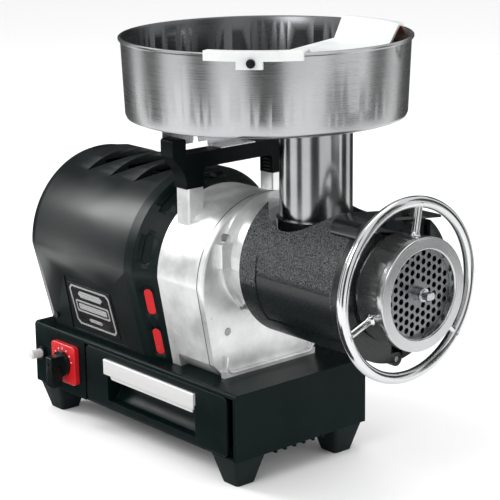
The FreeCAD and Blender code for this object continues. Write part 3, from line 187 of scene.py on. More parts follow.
cards = ((137, 0.34, 0.80, 0.08, 1.3), (184, 0.24, 0.80, 0.10, 1.3), (-130, 0.34, 0.80, 0.10, 1.2),
         (-74, 0.40, 0.85, 0.04, 1.2), (-42, 0.34, 0.95, 0.05, 0.9), (0, 0.40, 0.95, 0.0, 0.8),
         (49, 1.5, 0.90, 0.0, 1.25), (100, 0.30, 0.85, 0.0, 1.0))
for number, (around, width, away, low, high) in enumerate(cards):
    turn = math.radians(around)
    middle = Vector((math.cos(turn), math.sin(turn), 0)) * away
    across = Vector((-math.sin(turn), math.cos(turn), 0)) * width / 2
    left, right = middle - across, middle + across
    foot, head = Vector((0, 0, low)), Vector((0, 0, high))
    hang_card(f"black_card_{number}", (left + foot, right + foot, right + head, left + head),
              black_paper)

CARD_LIFT = 0.001
flags = (("floor_flag_side", black_paper, -0.42, -0.125, -0.34, 0.60),
         ("floor_flag_front", grey_paper, 0.35, 0.95, -1.20, -0.88))
for name, finish, x0, x1, y0, y1 in flags:
    corners = ((x0, y0), (x1, y0), (x1, y1), (x0, y1))
    hang_card(name, [(x, y, CARD_LIFT) for x, y in corners], finish)


def soft_box(name, where, target, wide, tall, power):
    lamp = bpy.data.lights.new(name, "AREA")
    lamp.shape = "RECTANGLE"
    lamp.size = wide
    lamp.size_y = tall
    lamp.energy = power
    holder = bpy.data.objects.new(name, lamp)
    holder.location = where
    holder.rotation_euler = (Vector(target) - Vector(where)).to_track_quat("-Z", "Y").to_euler()
    holder.visible_camera = False
    bpy.context.scene.collection.objects.link(holder)


soft_box("key_box", (-1.9, -0.6, 1.9), (0, 0, 0.25), 1.3, 1.0, 26)
soft_box("rear_side_box", (-1.15, 1.9, 1.45), (0, 0.1, 0.25), 0.7, 1.0, 30)
soft_box("front_box", (0.9, -2.2, 0.35), (0, -0.1, 0.12), 0.9, 0.8, 16)
soft_box("top_box", (0.2, 0.3, 2.4), (0, 0, 0.3), 1.6, 1.2, 18)

AZ, EL, ROLL = math.radians(-40.590), math.radians(14.678), math.radians(-0.715)
CAMERA_X, CAMERA_AHEAD, CAMERA_Z = -1.18809, 1.30127, 0.71515
back = Vector((math.sin(AZ) * math.cos(EL), -math.cos(AZ) * math.cos(EL), math.sin(EL)))
right = (-back).cross(Vector((0, 0, 1))).normalized()
up = right.cross(-back).normalized()
level_right = right * math.cos(ROLL) + up * math.sin(ROLL)
level_up = up * math.cos(ROLL) - right * math.sin(ROLL)
level = Matrix((level_right, level_up, back))
lens = bpy.data.cameras.new("long_lens")
lens.lens = 122.09
lens.sensor_width = 36.0
front_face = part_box("base_housing")[0][1]
camera = bpy.data.objects.new("camera", lens)
stand_at = Matrix.Translation((CAMERA_X, front_face - CAMERA_AHEAD, CAMERA_Z))
camera.matrix_world = stand_at @ level.transposed().to_4x4()
bpy.context.scene.collection.objects.link(camera)
bpy.context.scene.camera = camera

# --- Base box ----------------------------------------------------------------
# Folded steel sheet with a satin black powder coat, open below, closed by an
# under-plate; a side sheet is hooked on at the far side.
WELD, SPECK = 2e-6, 1e-6
FLAT, CREASE = math.radians(0.4), math.radians(32)


def dress(node, body, finish, edge=0.0):
    """A cleaned, smooth-shaded twin of a CAD node that stands for it."""
    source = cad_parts[node]
    shape = bmesh.new()
    shape.from_mesh(source.data)
    bmesh.ops.remove_doubles(shape, verts=shape.verts, dist=WELD)
    bmesh.ops.dissolve_degenerate(shape, dist=SPECK, edges=shape.edges)
    bmesh.ops.dissolve_limit(shape, angle_limit=FLAT, verts=shape.verts, edges=shape.edges)
    piece = as_piece(node + "_skin", shape, finish)
    piece.data.shade_smooth()
    piece.data.set_sharp_from_angle(angle=CREASE)
    if edge:
        soft = piece.modifiers.new("edge", "BEVEL")
        soft.width = edge
        soft.segments = 2
        soft.limit_method = "ANGLE"
        soft.angle_limit = CREASE
        soft.harden_normals = True
    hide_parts(node)
    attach(piece, body)
    return piece


BLACK, WORN_BLACK = (0.0014, 0.0052, 0.0051, 1), (0.0030, 0.0076, 0.0075, 1)
coat = Finish("powder_coat")
peel = coat.noise(1400.0, detail=2.0)
haze = coat.noise(14.0, detail=5.0)
coat_colour = coat.tone(haze, 0.35, 0.7, BLACK, WORN_BLACK)
coat.surface(coat_colour, coat.range(haze, 0.3, 0.75, 0.26, 0.34), 0.0,
             coat.bump(peel, 0.00006, 0.5), Specular_IOR_Level=0.06)
dress("base_housing", "stand", coat.material, 0.0008)
dress("side_panel", "stand", coat.material, 0.0004)
dress("base_plate", "stand", coat.material, 0.0005)

# --- Feet --------------------------------------------------------------------
# Four moulded black rubber blocks, drafted for the mould, each held by a screw
# driven up into the box.
rubber = Finish("foot_rubber")
dust = rubber.noise(60.0, detail=6.0)
rubber_colour = rubber.tone(dust, 0.4, 0.75, (0.0030, 0.0070, 0.0070, 1), (0.008, 0.013, 0.013, 1))
rubber.surface(rubber_colour, rubber.vary(dust, 0.55, 0.75), 0.0,
               rubber.bump(rubber.noise(1800.0), 0.00008, 0.6), Specular_IOR_Level=0.12)
dress("feet", "stand", rubber.material, 0.0008)

steel = Finish("turned_steel")
grain = steel.noise(900.0, steel.place(stretch=(1.0, 0.08, 1.0)))
steel.surface((0.55, 0.55, 0.57, 1), steel.vary(grain, 0.22, 0.38), 1.0,
              steel.bump(grain, 0.00003, 0.4))
for node in ("foot_screws", "drawer_rails"):
    dress(node, "stand", steel.material)

# --- Drawer ------------------------------------------------------------------
# Tool drawer: moulded black front with a hollow finger scoop, a pale pull strip
# clipped along the opening and a folded sheet tray behind.
moulded = Finish("moulded_black")
fine = moulded.noise(2200.0, detail=2.0)
touch = moulded.noise(25.0, detail=5.0)
moulded.surface(moulded.tone(touch, 0.4, 0.7, BLACK, WORN_BLACK), moulded.vary(touch, 0.30, 0.40),
                0.0, moulded.bump(fine, 0.00005, 0.5), Specular_IOR_Level=0.17)
dress("drawer_front", "drawer", moulded.material, 0.0006)
dress("drawer_tray", "drawer", coat.material, 0.0003)
pull = Finish("pull_strip_paint")
pull_grain = pull.noise(700.0, pull.place(stretch=(1.0, 0.03, 1.0)))
pull.surface((0.68, 0.678, 0.675, 1), pull.vary(pull_grain, 0.28, 0.42), 0.35,
             pull.bump(pull_grain, 0.00002, 0.5))
dress("drawer_strip", "drawer", pull.material, 0.0004)
strip_low, strip_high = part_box("drawer_strip")
LIP, LIP_BEND, LIP_IN, LIP_OUT, ROUND = 0.0042, 0.001, 0.0015, 0.0031, 0.0004
NEAR_END, FAR_END, RAKE = 0.0035, 0.011, 0.7
fold = ((LIP_IN, LIP_IN), (LIP_IN, -LIP + LIP_BEND), (LIP_IN + ROUND, -LIP),
        (LIP_OUT - ROUND, -LIP), (LIP_OUT, -LIP + LIP_BEND), (LIP_OUT, LIP_IN))
shape = bmesh.new()
ends = []
for y, slant in ((strip_low[1] + NEAR_END, 0.0), (strip_high[1] - FAR_END, RAKE)):
    ends.append(
        [shape.verts.new((strip_low[0] + dx, y + dz * slant, strip_low[2] + dz)) for dx, dz in fold]
    )
for n in range(len(fold)):
    m = (n + 1) % len(fold)
    shape.faces.new((ends[0][n], ends[0][m], ends[1][m], ends[1][n]))
shape.faces.new(ends[0])
shape.faces.new(ends[1])
bmesh.ops.recalc_face_normals(shape, faces=shape.faces)
lip = as_piece("drawer_strip_lip", shape, pull.material)
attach(lip, "drawer")

# --- Switch and reset --------------------------------------------------------
# Red moulded plate with a black turn knob, and beside it an overload reset
# under a milky rubber boot.
red = Finish("switch_red")
red_tone = red.noise(40.0, detail=4.0)
red.surface(red.tone(red_tone, 0.35, 0.7, (0.46, 0.010, 0.014, 1), (0.55, 0.016, 0.020, 1)),
            red.vary(red_tone, 0.18, 0.30), 0.0, red.bump(red.noise(900.0), 0.00004, 0.3),
            Coat_Weight=0.4)
dress("switch_plate", "stand", red.material, 0.0004)
white_ink = Finish("legend_white")
white_ink.surface((0.70, 0.70, 0.69, 1), white_ink.vary(white_ink.noise(900.0), 0.4, 0.5))
knob = Finish("knob_black")
knob_tone = knob.noise(50.0, detail=4.0)
knob.surface((0.0028, 0.0050, 0.0050, 1), knob.vary(knob_tone, 0.22, 0.34), 0.0,
             knob.bump(knob.noise(1500.0), 0.00004, 0.4), Specular_IOR_Level=0.35)
dress("switch_knob", "switch", knob.material, 0.0005)
dress("switch_body", "stand", moulded.material, 0.0003)
dress("reset_breaker", "stand", knob.material, 0.0003)

PRESS_CREASE = math.radians(40)


class Jig:
    """A Geometry Nodes tree that makes repeated or swept pieces from named sizes."""

    def __init__(self, name):
        self.tree = bpy.data.node_groups.new(name, "GeometryNodeTree")
        self.tree.interface.new_socket("Geometry", in_out="OUTPUT",
                                       socket_type="NodeSocketGeometry")
        self.tree.interface.new_socket("Places", in_out="INPUT", socket_type="NodeSocketGeometry")
        self.sizes = self.tree.nodes.new("NodeGroupInput")
        self.keys = {}

    def size(self, name, kind="Float"):
        item = self.tree.interface.new_socket(name, in_out="INPUT", socket_type="NodeSocket" + kind)
        self.keys[name] = item.identifier
        return self.sizes.outputs[name]

    def make(self, kind, settings=None, inputs=None, output=0):
        node = self.tree.nodes.new(kind)
        for name, value in (settings or {}).items():
            setattr(node, name, value)
        for name, value in (inputs or {}).items():
            if isinstance(value, bpy.types.NodeSocket):
                self.tree.links.new(value, node.inputs[name])
            else:
                node.inputs[name].default_value = value
        return node.outputs[output]

    def maths(self, how, first, second=0.0):
        return self.make("ShaderNodeMath", {"operation": how}, {0: first, 1: second})

    def press(self, geometry, piece_name, finish, body, slot, places=(), in_line=False, **sizes):
        """Runs the tree with these sizes and returns the plain mesh piece."""
        solid = self.make("GeometryNodeRealizeInstances", None, {"Geometry": geometry})
        solid = self.make("GeometryNodeSetMaterial", None, {"Geometry": solid, "Material": finish})
        out = self.tree.nodes.new("NodeGroupOutput")
        self.tree.links.new(solid, out.inputs[0])
        marks = bpy.data.meshes.new(piece_name + "_jig")
        runs = [(n, n + 1) for n in range(len(places) - 1)] if in_line else []
        marks.from_pydata([tuple(spot) for spot in places], runs, [])
        host = bpy.data.objects.new(piece_name + "_jig", marks)
        bpy.context.scene.collection.objects.link(host)
        worker = host.modifiers.new("jig", "NODES")
        worker.node_group = self.tree
        for name, value in sizes.items():
            worker[self.keys[name]] = value
        seen = host.evaluated_get(bpy.context.evaluated_depsgraph_get())
        mesh = bpy.data.meshes.new_from_object(seen)
        mesh.name = piece_name
        bpy.data.objects.remove(host)
        mesh.shade_smooth()
        mesh.set_sharp_from_angle(angle=PRESS_CREASE)
        piece = bpy.data.objects.new(piece_name, mesh)
        bpy.context.scene.collection.objects.link(piece)
        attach(piece, body)
        return piece


plate_low, plate_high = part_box("switch_plate")
plate_mid = [(a + b) / 2 for a, b in zip(plate_low, plate_high)]
TICK_WIDE, TICK_DEEP, TICK_GAP = 0.0009, 0.0004, 0.0001
legend = Jig("switch_legend_jig")
arc_r, sweep, tick_long = (legend.size(n) for n in ("Arc_radius", "Sweep", "Tick_length"))
ticks = legend.size("Tick_count", "Int")
middle = legend.size("Centre", "Vector")
begin = legend.maths("MULTIPLY", sweep, -0.5)
arc = legend.make("GeometryNodeCurveArc", None,
                  {"Resolution": 48, "Radius": arc_r, "Start Angle": begin, "Sweep Angle": sweep})
tick_size = legend.make("ShaderNodeCombineXYZ", None,
                        {"X": tick_long, "Y": TICK_WIDE, "Z": TICK_DEEP})
tick = legend.make("GeometryNodeMeshCube", None, {"Size": tick_size})
stations = legend.make("GeometryNodeCurveToPoints", {"mode": "COUNT"},
                       {"Curve": arc, "Count": ticks}, "Points")
spot = legend.make("GeometryNodeInputPosition")
radial = legend.make("FunctionNodeAlignRotationToVector", {"axis": "X"}, {"Vector": spot})
marks = legend.make("GeometryNodeInstanceOnPoints", None,
                    {"Points": stations, "Instance": tick, "Rotation": radial})
raised = legend.make("GeometryNodeTransform", None,
                     {"Geometry": marks, "Rotation": (0.0, -math.pi / 2, 0.0),
                      "Translation": middle})
legend.press(raised, "switch_ticks", white_ink.material, "stand", "guard_white", Arc_radius=0.0185,
             Sweep=math.radians(150), Tick_length=0.0024, Tick_count=7,
             Centre=Vector((plate_low[0] - TICK_DEEP - TICK_GAP, plate_mid[1], plate_mid[2])))
boot = Finish("milky_boot")
cloud = boot.noise(300.0)
boot.surface(boot.blend(cloud, (0.44, 0.455, 0.455, 1), (0.66, 0.67, 0.67, 1)),
             boot.vary(cloud, 0.2, 0.35), 0.0, boot.bump(cloud, 0.0003, 0.5))
dress("reset_button", "reset", boot.material, 0.0006)
dress("cord_gland", "stand", knob.material, 0.0005)

# --- Gear train and motor (inside) -------------------------------------------
# Machined steel gears, shafts, rods and studs, laminated cores and varnished copper
# windings, nearly all of it hidden in use.
for node, body in (("layshaft_gear", "countershaft"), ("layshaft", "countershaft"),
                   ("output_gear", "feed"), ("output_shaft", "feed"), ("motor_shaft", "rotor"),
                   ("gearbox_bearings", "stand"), ("motor_bearings", "stand"),
                   ("tie_rods", "stand"), ("handle_studs", "stand"), ("jacket_pin", "stand")):
    dress(node, body, steel.material)
copper = Finish("varnished_copper")
strand = copper.noise(600.0, copper.place(stretch=(1.0, 0.2, 1.0)))
copper.surface(copper.blend(strand, (0.42, 0.16, 0.06, 1), (0.62, 0.28, 0.12, 1)),
               copper.vary(strand, 0.25, 0.5), 0.9, copper.bump(strand, 0.0003, 0.7))
dress("stator_windings", "stand", copper.material)
stack = Finish("laminated_core")
sheets = stack.noise(1500.0, stack.place(stretch=(0.02, 1.0, 0.02)), detail=1.0)
stack.surface((0.20, 0.20, 0.22, 1), stack.vary(sheets, 0.4, 0.6), 0.8,
              stack.bump(sheets, 0.0001, 0.7))
dress("stator_core", "stand", stack.material)
dress("rotor_core", "rotor", stack.material)
pale = Finish("fan_plastic")
pale.surface((0.62, 0.62, 0.60, 1), pale.vary(pale.noise(200.0), 0.4, 0.55))
dress("cooling_fan", "rotor", pale.material)
seal = Finish("seal_rubber")
seal.surface((0.02, 0.02, 0.02, 1), seal.vary(seal.noise(400.0), 0.5, 0.7))
dress("oil_seal", "stand", seal.material)

# --- Gearbox -----------------------------------------------------------------
# Cast aluminium case and cover, ground and polished bright, closed on a gasket by
# six flush screws; a raised bead runs along the cover's foot.
alloy = Finish("polished_casting")
cloud = alloy.noise(26.0, detail=6.0, rough=0.6)
scratch = alloy.noise(1400.0, alloy.place(stretch=(1.0, 1.0, 0.05)), detail=2.0)
facets = alloy.noise(14.0, detail=1.0)
alloy_colour = alloy.tone(cloud, 0.32, 0.70, (0.62, 0.623, 0.626, 1), (0.90, 0.902, 0.904, 1))
alloy.surface(alloy_colour, alloy.vary(cloud, 0.24, 0.42) + scratch * 0.06, 0.66,
              alloy.bump(facets, 0.0030, 0.12, alloy.bump(scratch, 0.00002, 0.25)),
              Specular_IOR_Level=0.6)
dress("gearbox_housing", "stand", alloy.material, 0.0006)
dress("gearbox_cover", "stand", alloy.material, 0.0006)
dress("motor_bracket_front", "stand", alloy.material)
dress("motor_bracket_rear", "stand", alloy.material)
SLACK, THIN = 0.001, 0.0005
cover_points = [v.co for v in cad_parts["gearbox_cover"].data.vertices]
foot_z = min(c.z for c in cover_points)
foot_points = [c for c in cover_points if c.z < foot_z + SLACK]
foot_x0, foot_x1 = (how(c.x for c in foot_points) for how in (min, max))
foot_y = min(c.y for c in foot_points)
IN, UP, TALL, LEAN = 0.0035, 0.0045, 0.024, 0.002
BEAD_R, BEAD_TURN_R, SEAM_R = 0.0014, 0.008, 0.00045
bead_path = [(foot_x0 + IN + LEAN, foot_y, foot_z + TALL), (foot_x0 + IN, foot_y, foot_z + UP),
             (foot_x1 - IN, foot_y, foot_z + UP), (foot_x1 - IN - LEAN, foot_y, foot_z + TALL)]
bead = Jig("foot_bead_jig")
bead_r, corner_r = bead.size("Bead_radius"), bead.size("Corner_radius")
line = bead.make("GeometryNodeMeshToCurve", None, {"Mesh": bead.sizes.outputs["Places"]})
line = bead.make("GeometryNodeFilletCurve", {"mode": "POLY"},
                 {"Curve": line, "Count": 10, "Radius": corner_r, "Limit Radius": True})
rod = bead.make("GeometryNodeCurvePrimitiveCircle", None, {"Resolution": 16, "Radius": bead_r},
                "Curve")
ridge = bead.make("GeometryNodeCurveToMesh", None,
                  {"Curve": line, "Profile Curve": rod, "Fill Caps": True})
bead.press(ridge, "gearbox_foot_bead", alloy.material, "stand", "cast_alloy", places=bead_path,
           in_line=True, Bead_radius=BEAD_R, Corner_radius=BEAD_TURN_R)
joint_y = max(c.y for c in cover_points)
outline = sorted({(round(c.x, 5), round(c.z, 5)) for c in cover_points if c.y > joint_y - THIN})

# The joint face's convex outline, out along one side and back along the other.
seam_path = []
for run in (outline, outline[::-1]):
    edge = []
    for x, z in run:
        while len(edge) > 1:
            (x0, z0), (x1, z1) = edge[-2:]
            if (x1 - x0) * (z - z0) - (z1 - z0) * (x - x0) > 0:
                break
            edge.pop()
        edge.append((x, z))
    seam_path += edge[:-1]
seam_path = [(x, joint_y, z) for x, z in seam_path + seam_path[:1]]
gasket = Finish("gasket_line")
gasket.surface((0.035, 0.035, 0.035, 1), gasket.vary(gasket.noise(500.0), 0.5, 0.7))
seam = Jig("gasket_jig")
seam_r = seam.size("Seam_radius")
line = seam.make("GeometryNodeMeshToCurve", None, {"Mesh": seam.sizes.outputs["Places"]})
rod = seam.make("GeometryNodeCurvePrimitiveCircle", None, {"Resolution": 8, "Radius": seam_r},
                "Curve")
thread = seam.make("GeometryNodeCurveToMesh", None,
                   {"Curve": line, "Profile Curve": rod, "Fill Caps": True})
seam.press(thread, "gearbox_gasket_line", gasket.material, "stand", "seal", places=seam_path,
           in_line=True, Seam_radius=SEAM_R)
screw_steel = Finish("cover_screw_steel")
ring_cut = screw_steel.noise(700.0, detail=2.0)
screw_steel.surface((0.34, 0.345, 0.35, 1), screw_steel.vary(ring_cut, 0.30, 0.42), 1.0,
                    screw_steel.bump(ring_cut, 0.00004, 0.4))
screw_tip_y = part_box("gearbox_screws")[1][1]
SCREW_R, SCREW_LONG = 0.0044, 0.025
SHANK_R, HEAD_H, CHAMFER = 0.0025, 0.004, 0.0005
face_y = screw_tip_y - SCREW_LONG
hole_places = ((0.0610, 0.2671), (0.0356, 0.1851), (0.0577, 0.1605))
spots = [(side * x, face_y, z) for side in (-1, 1) for x, z in hole_places]
screws = Jig("flush_screw_jig")
head_r, head_h, lead, shank_r, shank_l = (
    screws.size(n) for n in ("Head_radius", "Head_height", "Lead", "Shank_radius", "Shank_length")
)
half_down = screws.make("ShaderNodeCombineXYZ", None, {"Z": screws.maths("MULTIPLY", head_h, -0.5)})
head = screws.make("GeometryNodeMeshCylinder", None,
                   {"Vertices": 32, "Radius": head_r, "Depth": head_h}, "Mesh")
head = screws.make("GeometryNodeTransform", None, {"Geometry": head, "Translation": half_down})
crown_r = screws.maths("SUBTRACT", head_r, lead)
crown = screws.make("GeometryNodeMeshCone", None,
                    {"Vertices": 32, "Radius Top": crown_r, "Radius Bottom": head_r, "Depth": lead},
                    "Mesh")
half_down = screws.make("ShaderNodeCombineXYZ", None,
                        {"Z": screws.maths("MULTIPLY", shank_l, -0.5)})
shank = screws.make("GeometryNodeMeshCylinder", None,
                    {"Vertices": 24, "Radius": shank_r, "Depth": shank_l}, "Mesh")
shank = screws.make("GeometryNodeTransform", None, {"Geometry": shank, "Translation": half_down})
whole = screws.tree.nodes.new("GeometryNodeJoinGeometry")
for part in (head, crown, shank):
    screws.tree.links.new(part, whole.inputs[0])
set_in = screws.make("GeometryNodeInstanceOnPoints", None,
                     {"Points": screws.sizes.outputs["Places"], "Instance": whole.outputs[0],
                      "Rotation": (math.pi / 2, 0.0, 0.0)})
screws.press(set_in, "gearbox_cover_screws", screw_steel.material, "stand", "steel", places=spots,
             Head_radius=SCREW_R, Head_height=HEAD_H, Lead=CHAMFER, Shank_radius=SHANK_R,
             Shank_length=SCREW_LONG - SLACK)

# Only the set screw stays of the CAD twin; it stands well ahead of the cover's face.
AHEAD = 0.01
set_screw = dress("gearbox_screws", "stand", screw_steel.material, 0.0003)
shape = bmesh.new()
shape.from_mesh(set_screw.data)
bmesh.ops.delete(shape, geom=[v for v in shape.verts if v.co.y > face_y - AHEAD], context="VERTS")
shape.to_mesh(set_screw.data)
shape.free()

# --- Bezel and motor cover ---------------------------------------------------
# Injection moulded black covers with a light leather grain. Pill-shaped dimples
# ring the bezel, four hold red inlays, and a bordered plate is fixed to each side.
leather = Finish("grained_cover")
cells = leather.make("ShaderNodeTexVoronoi", {"feature": "SMOOTH_F1"},
                     {"Vector": leather.place(), "Scale": 620.0}, 0)
mottle = leather.noise(18.0, detail=5.0)
leather.surface(
    leather.tone(mottle, 0.35, 0.7, (0.0028, 0.0052, 0.0054, 1), (0.0060, 0.0094, 0.0096, 1)),
    leather.vary(mottle, 0.27, 0.36), 0.0, leather.bump(cells, 0.00012, 0.35),
    Specular_IOR_Level=0.4
)
dress("front_bezel", "stand", moulded.material)
dress("motor_cover", "stand", leather.material, 0.0006)
dress("bezel_inlays", "stand", red.material, 0.0003)
badge = Finish("side_plate")
badge.surface((0.018, 0.018, 0.019, 1),
              badge.vary(badge.noise(900.0, badge.place(stretch=(1, 0.04, 1))), 0.18, 0.30), 0.4)
dress("name_plates", "stand", badge.material, 0.0003)
trim = Finish("badge_silver")
trim.surface((0.62, 0.625, 0.63, 1),
             trim.vary(trim.noise(900.0, trim.place(stretch=(1, 0.04, 1))), 0.24, 0.36), 0.6)
PROUD, PLATE_ASPECT = 0.0005, 1.4
plate_points = [v.co.copy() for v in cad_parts["name_plates"].data.vertices]
for side, side_name in ((-1, "near"), (1, "far")):
    own = [c for c in plate_points if c.x * side > 0]
    mid_y, mid_z = ((min(c[i] for c in own) + max(c[i] for c in own)) / 2 for i in (1, 2))
    corners = {}
    for c in own:
        key = (c.y > mid_y, c.z > mid_z)
        if key not in corners or abs(c.x) > abs(corners[key].x):
            corners[key] = c
    start = corners[False, False]
    out_way = (corners[True, False] - start).cross(corners[False, True] - start).normalized()
    out_way *= side if out_way.x > 0 else -side

    def spot_at(u, v, lift):
        low = corners[True, False].lerp(corners[False, False], u)
        high = corners[True, True].lerp(corners[False, True], u)
        return low.lerp(high, v) + out_way * lift

    def octagon(u0, v0, u1, v1, cut):
        cut_v = cut * PLATE_ASPECT
        return ((u0 + cut, v0), (u1 - cut, v0), (u1, v0 + cut_v), (u1, v1 - cut_v), (u1 - cut, v1),
                (u0 + cut, v1), (u0, v1 - cut_v), (u0, v0 + cut_v))

    shape = bmesh.new()
    borders = ((octagon(0.04, 0.05, 0.96, 0.95, 0.06), octagon(0.065, 0.085, 0.935, 0.915, 0.05)),
               (octagon(0.12, 0.36, 0.88, 0.62, 0.02), octagon(0.14, 0.39, 0.86, 0.59, 0.015)))
    bars = (octagon(0.22, 0.70, 0.78, 0.84, 0.05), octagon(0.18, 0.43, 0.82, 0.55, 0.01),
            octagon(0.34, 0.18, 0.66, 0.25, 0.03))
    for outer, inner in borders:
        steps = ((outer, -PROUD), (outer, PROUD), (inner, PROUD), (inner, -PROUD))
        rings = [[shape.verts.new(spot_at(u, v, lift)) for u, v in loop] for loop, lift in steps]
        for k in range(4):
            for n in range(8):
                m = (n + 1) % 8
                here, there = rings[k], rings[(k + 1) % 4]
                shape.faces.new((here[n], here[m], there[m], there[n]))
    for field in bars:
        rings = [[shape.verts.new(spot_at(u, v, lift)) for u, v in field]
                 for lift in (-PROUD, PROUD)]
        shape.faces.new(rings[0])
        shape.faces.new(rings[1])
        for n in range(8):
            m = (n + 1) % 8
            shape.faces.new((rings[0][n], rings[0][m], rings[1][m], rings[1][n]))
    bmesh.ops.recalc_face_normals(shape, faces=shape.faces)
    piece = as_piece(f"badge_trim_{side_name}", shape, trim.material)
    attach(piece, "stand")
dress("cover_screws", "stand", knob.material, 0.0003)

# --- Handle ------------------------------------------------------------------
# Moulded black carrying handle with a dull satin skin, standing on the gearbox's
# two cast posts.
grip = Finish("handle_grip")
palm = grip.noise(30.0, detail=5.0)
grip.surface(grip.tone(palm, 0.4, 0.7, (0.0016, 0.0036, 0.0037, 1), (0.0034, 0.0058, 0.0060, 1)),
             grip.vary(palm, 0.34, 0.46), 0.0, grip.bump(grip.noise(2000.0), 0.00005, 0.5),
             Specular_IOR_Level=0.05)
dress("handle", "stand", grip.material, 0.0008)

# --- Head and grinding set ---------------------------------------------------
# Polished stainless head and throat, ground plate with drilled holes, cast auger.
# The nut holds the plate and carries a bent rod ring on three flared spokes.
bright = Finish("polished_stainless")
bloom = bright.noise(20.0, detail=4.0)
line = bright.noise(1600.0, bright.place(stretch=(0.05, 0.05, 1.0)), detail=2.0)
bright.surface((0.62, 0.63, 0.635, 1), bright.vary(bloom, 0.07, 0.14) + line * 0.05, 1.0,
               bright.bump(bloom, 0.0004, 0.12, bright.bump(line, 0.000015, 0.3)))
dress("head", "stand", bright.material, 0.0006)
tube = Finish("throat_polish")
buff = tube.noise(14.0, detail=4.0)
draw = tube.noise(1200.0, tube.place(stretch=(1.0, 1.0, 0.04)), detail=2.0)
tube.surface(tube.tone(buff, 0.35, 0.7, (0.30, 0.305, 0.31, 1), (0.42, 0.425, 0.43, 1)),
             tube.vary(buff, 0.12, 0.20) + draw * 0.05, 1.0, tube.bump(draw, 0.00002, 0.3))
dress("throat_tube", "stand", tube.material, 0.0004)
nut_metal = Finish("nut_satin")
lathe = nut_metal.noise(900.0, nut_metal.place(stretch=(1.0, 0.05, 1.0)), detail=2.0)
smear = nut_metal.noise(12.0, detail=2.0)
nut_metal.surface(nut_metal.tone(smear, 0.35, 0.7, (0.44, 0.445, 0.45, 1), (0.52, 0.525, 0.53, 1)),
                  nut_metal.vary(smear, 0.14, 0.20) + lathe * 0.03, 0.95,
                  nut_metal.bump(lathe, 0.000008, 0.2))
dress("ring_nut", "nut", nut_metal.material, 0.0006)

ROD_R, SPOKE_R, FIRST_SPOKE, SUNK = 0.006, 0.0042, 80.5, 0.0028
ring_low, ring_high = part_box("hand_ring")
ring_mid = [(a + b) / 2 for a, b in zip(ring_low, ring_high)]
hoop = Jig("hand_ring_jig")
hoop_r, rod_r, spoke_r, hub_r = (
    hoop.size(n) for n in ("Hoop_radius", "Rod_radius", "Spoke_radius", "Hub_radius")
)
centre = hoop.size("Centre", "Vector")
first_spoke = hoop.size("First_spoke")
path = hoop.make("GeometryNodeCurvePrimitiveCircle", None, {"Resolution": 160, "Radius": hoop_r},
                 "Curve")
section = hoop.make("GeometryNodeCurvePrimitiveCircle", None, {"Resolution": 28, "Radius": rod_r},
                    "Curve")
tyre = hoop.make("GeometryNodeCurveToMesh", None, {"Curve": path, "Profile Curve": section})
start = hoop.make("ShaderNodeCombineXYZ", None, {"X": hub_r})
end = hoop.make("ShaderNodeCombineXYZ", None, {"X": hoop_r})
bar = hoop.make("GeometryNodeCurvePrimitiveLine", None, {"Start": start, "End": end})
bar = hoop.make("GeometryNodeResampleCurve", None, {"Curve": bar, "Count": 25})
along = hoop.make("GeometryNodeSplineParameter", output="Factor")
from_middle = hoop.maths("ABSOLUTE", hoop.maths("SUBTRACT", along, 0.5))
FLARE_BEND, FLARE_GAIN = 9.0, 0.75
flare = hoop.maths("POWER", hoop.maths("MULTIPLY", from_middle, 2.0), FLARE_BEND)
flare = hoop.maths("ADD", hoop.maths("MULTIPLY", flare, FLARE_GAIN), 1.0)
bar = hoop.make("GeometryNodeSetCurveRadius", None, {"Curve": bar, "Radius": flare})
thin = hoop.make("GeometryNodeCurvePrimitiveCircle", None, {"Resolution": 20, "Radius": spoke_r},
                 "Curve")
spoke = hoop.make("GeometryNodeCurveToMesh", None,
                  {"Curve": bar, "Profile Curve": thin, "Scale": flare, "Fill Caps": True})
places = hoop.make("GeometryNodePoints", None, {"Count": 3})
THIRD = 2 * math.pi / 3
turn_by = hoop.maths("MULTIPLY", hoop.make("GeometryNodeInputIndex"), THIRD)
turn_by = hoop.maths("ADD", turn_by, first_spoke)
turned = hoop.make("FunctionNodeAxisAngleToRotation", None,
                   {"Axis": (0.0, 0.0, 1.0), "Angle": turn_by})
spokes = hoop.make("GeometryNodeInstanceOnPoints", None,
                   {"Points": places, "Instance": spoke, "Rotation": turned})
both = hoop.tree.nodes.new("GeometryNodeJoinGeometry")
for part in (tyre, spokes):
    hoop.tree.links.new(part, both.inputs[0])
upright = hoop.make("GeometryNodeTransform", None,
                    {"Geometry": both.outputs[0], "Translation": centre,
                     "Rotation": (math.pi / 2, 0.0, 0.0)})
nut_low, nut_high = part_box("ring_nut")
wheel = hoop.press(upright, "hand_ring_rod", bright.material, "nut", "polished",
                   Hoop_radius=(ring_high[0] - ring_low[0]) / 2 - ROD_R, Rod_radius=ROD_R,
                   Spoke_radius=SPOKE_R, Hub_radius=(nut_high[0] - nut_low[0]) / 2 - SUNK,
                   Centre=Vector((0.0, ring_mid[1], ring_mid[2])),
                   First_spoke=math.radians(FIRST_SPOKE))
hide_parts("hand_ring")
ground = Finish("ground_plate")
cut = ground.noise(1200.0, ground.place(stretch=(1.0, 1.0, 0.05)), detail=2.0)
ground.surface((0.20, 0.21, 0.215, 1), ground.vary(cut, 0.20, 0.34), 1.0,
               ground.bump(cut, 0.00003, 0.4))
dress("cutting_plate", "stand", ground.material, 0.0003)
dress("knife", "feed", steel.material, 0.0003)
dress("auger", "feed", ground.material)
dress("auger_stud", "feed", steel.material, 0.0003)

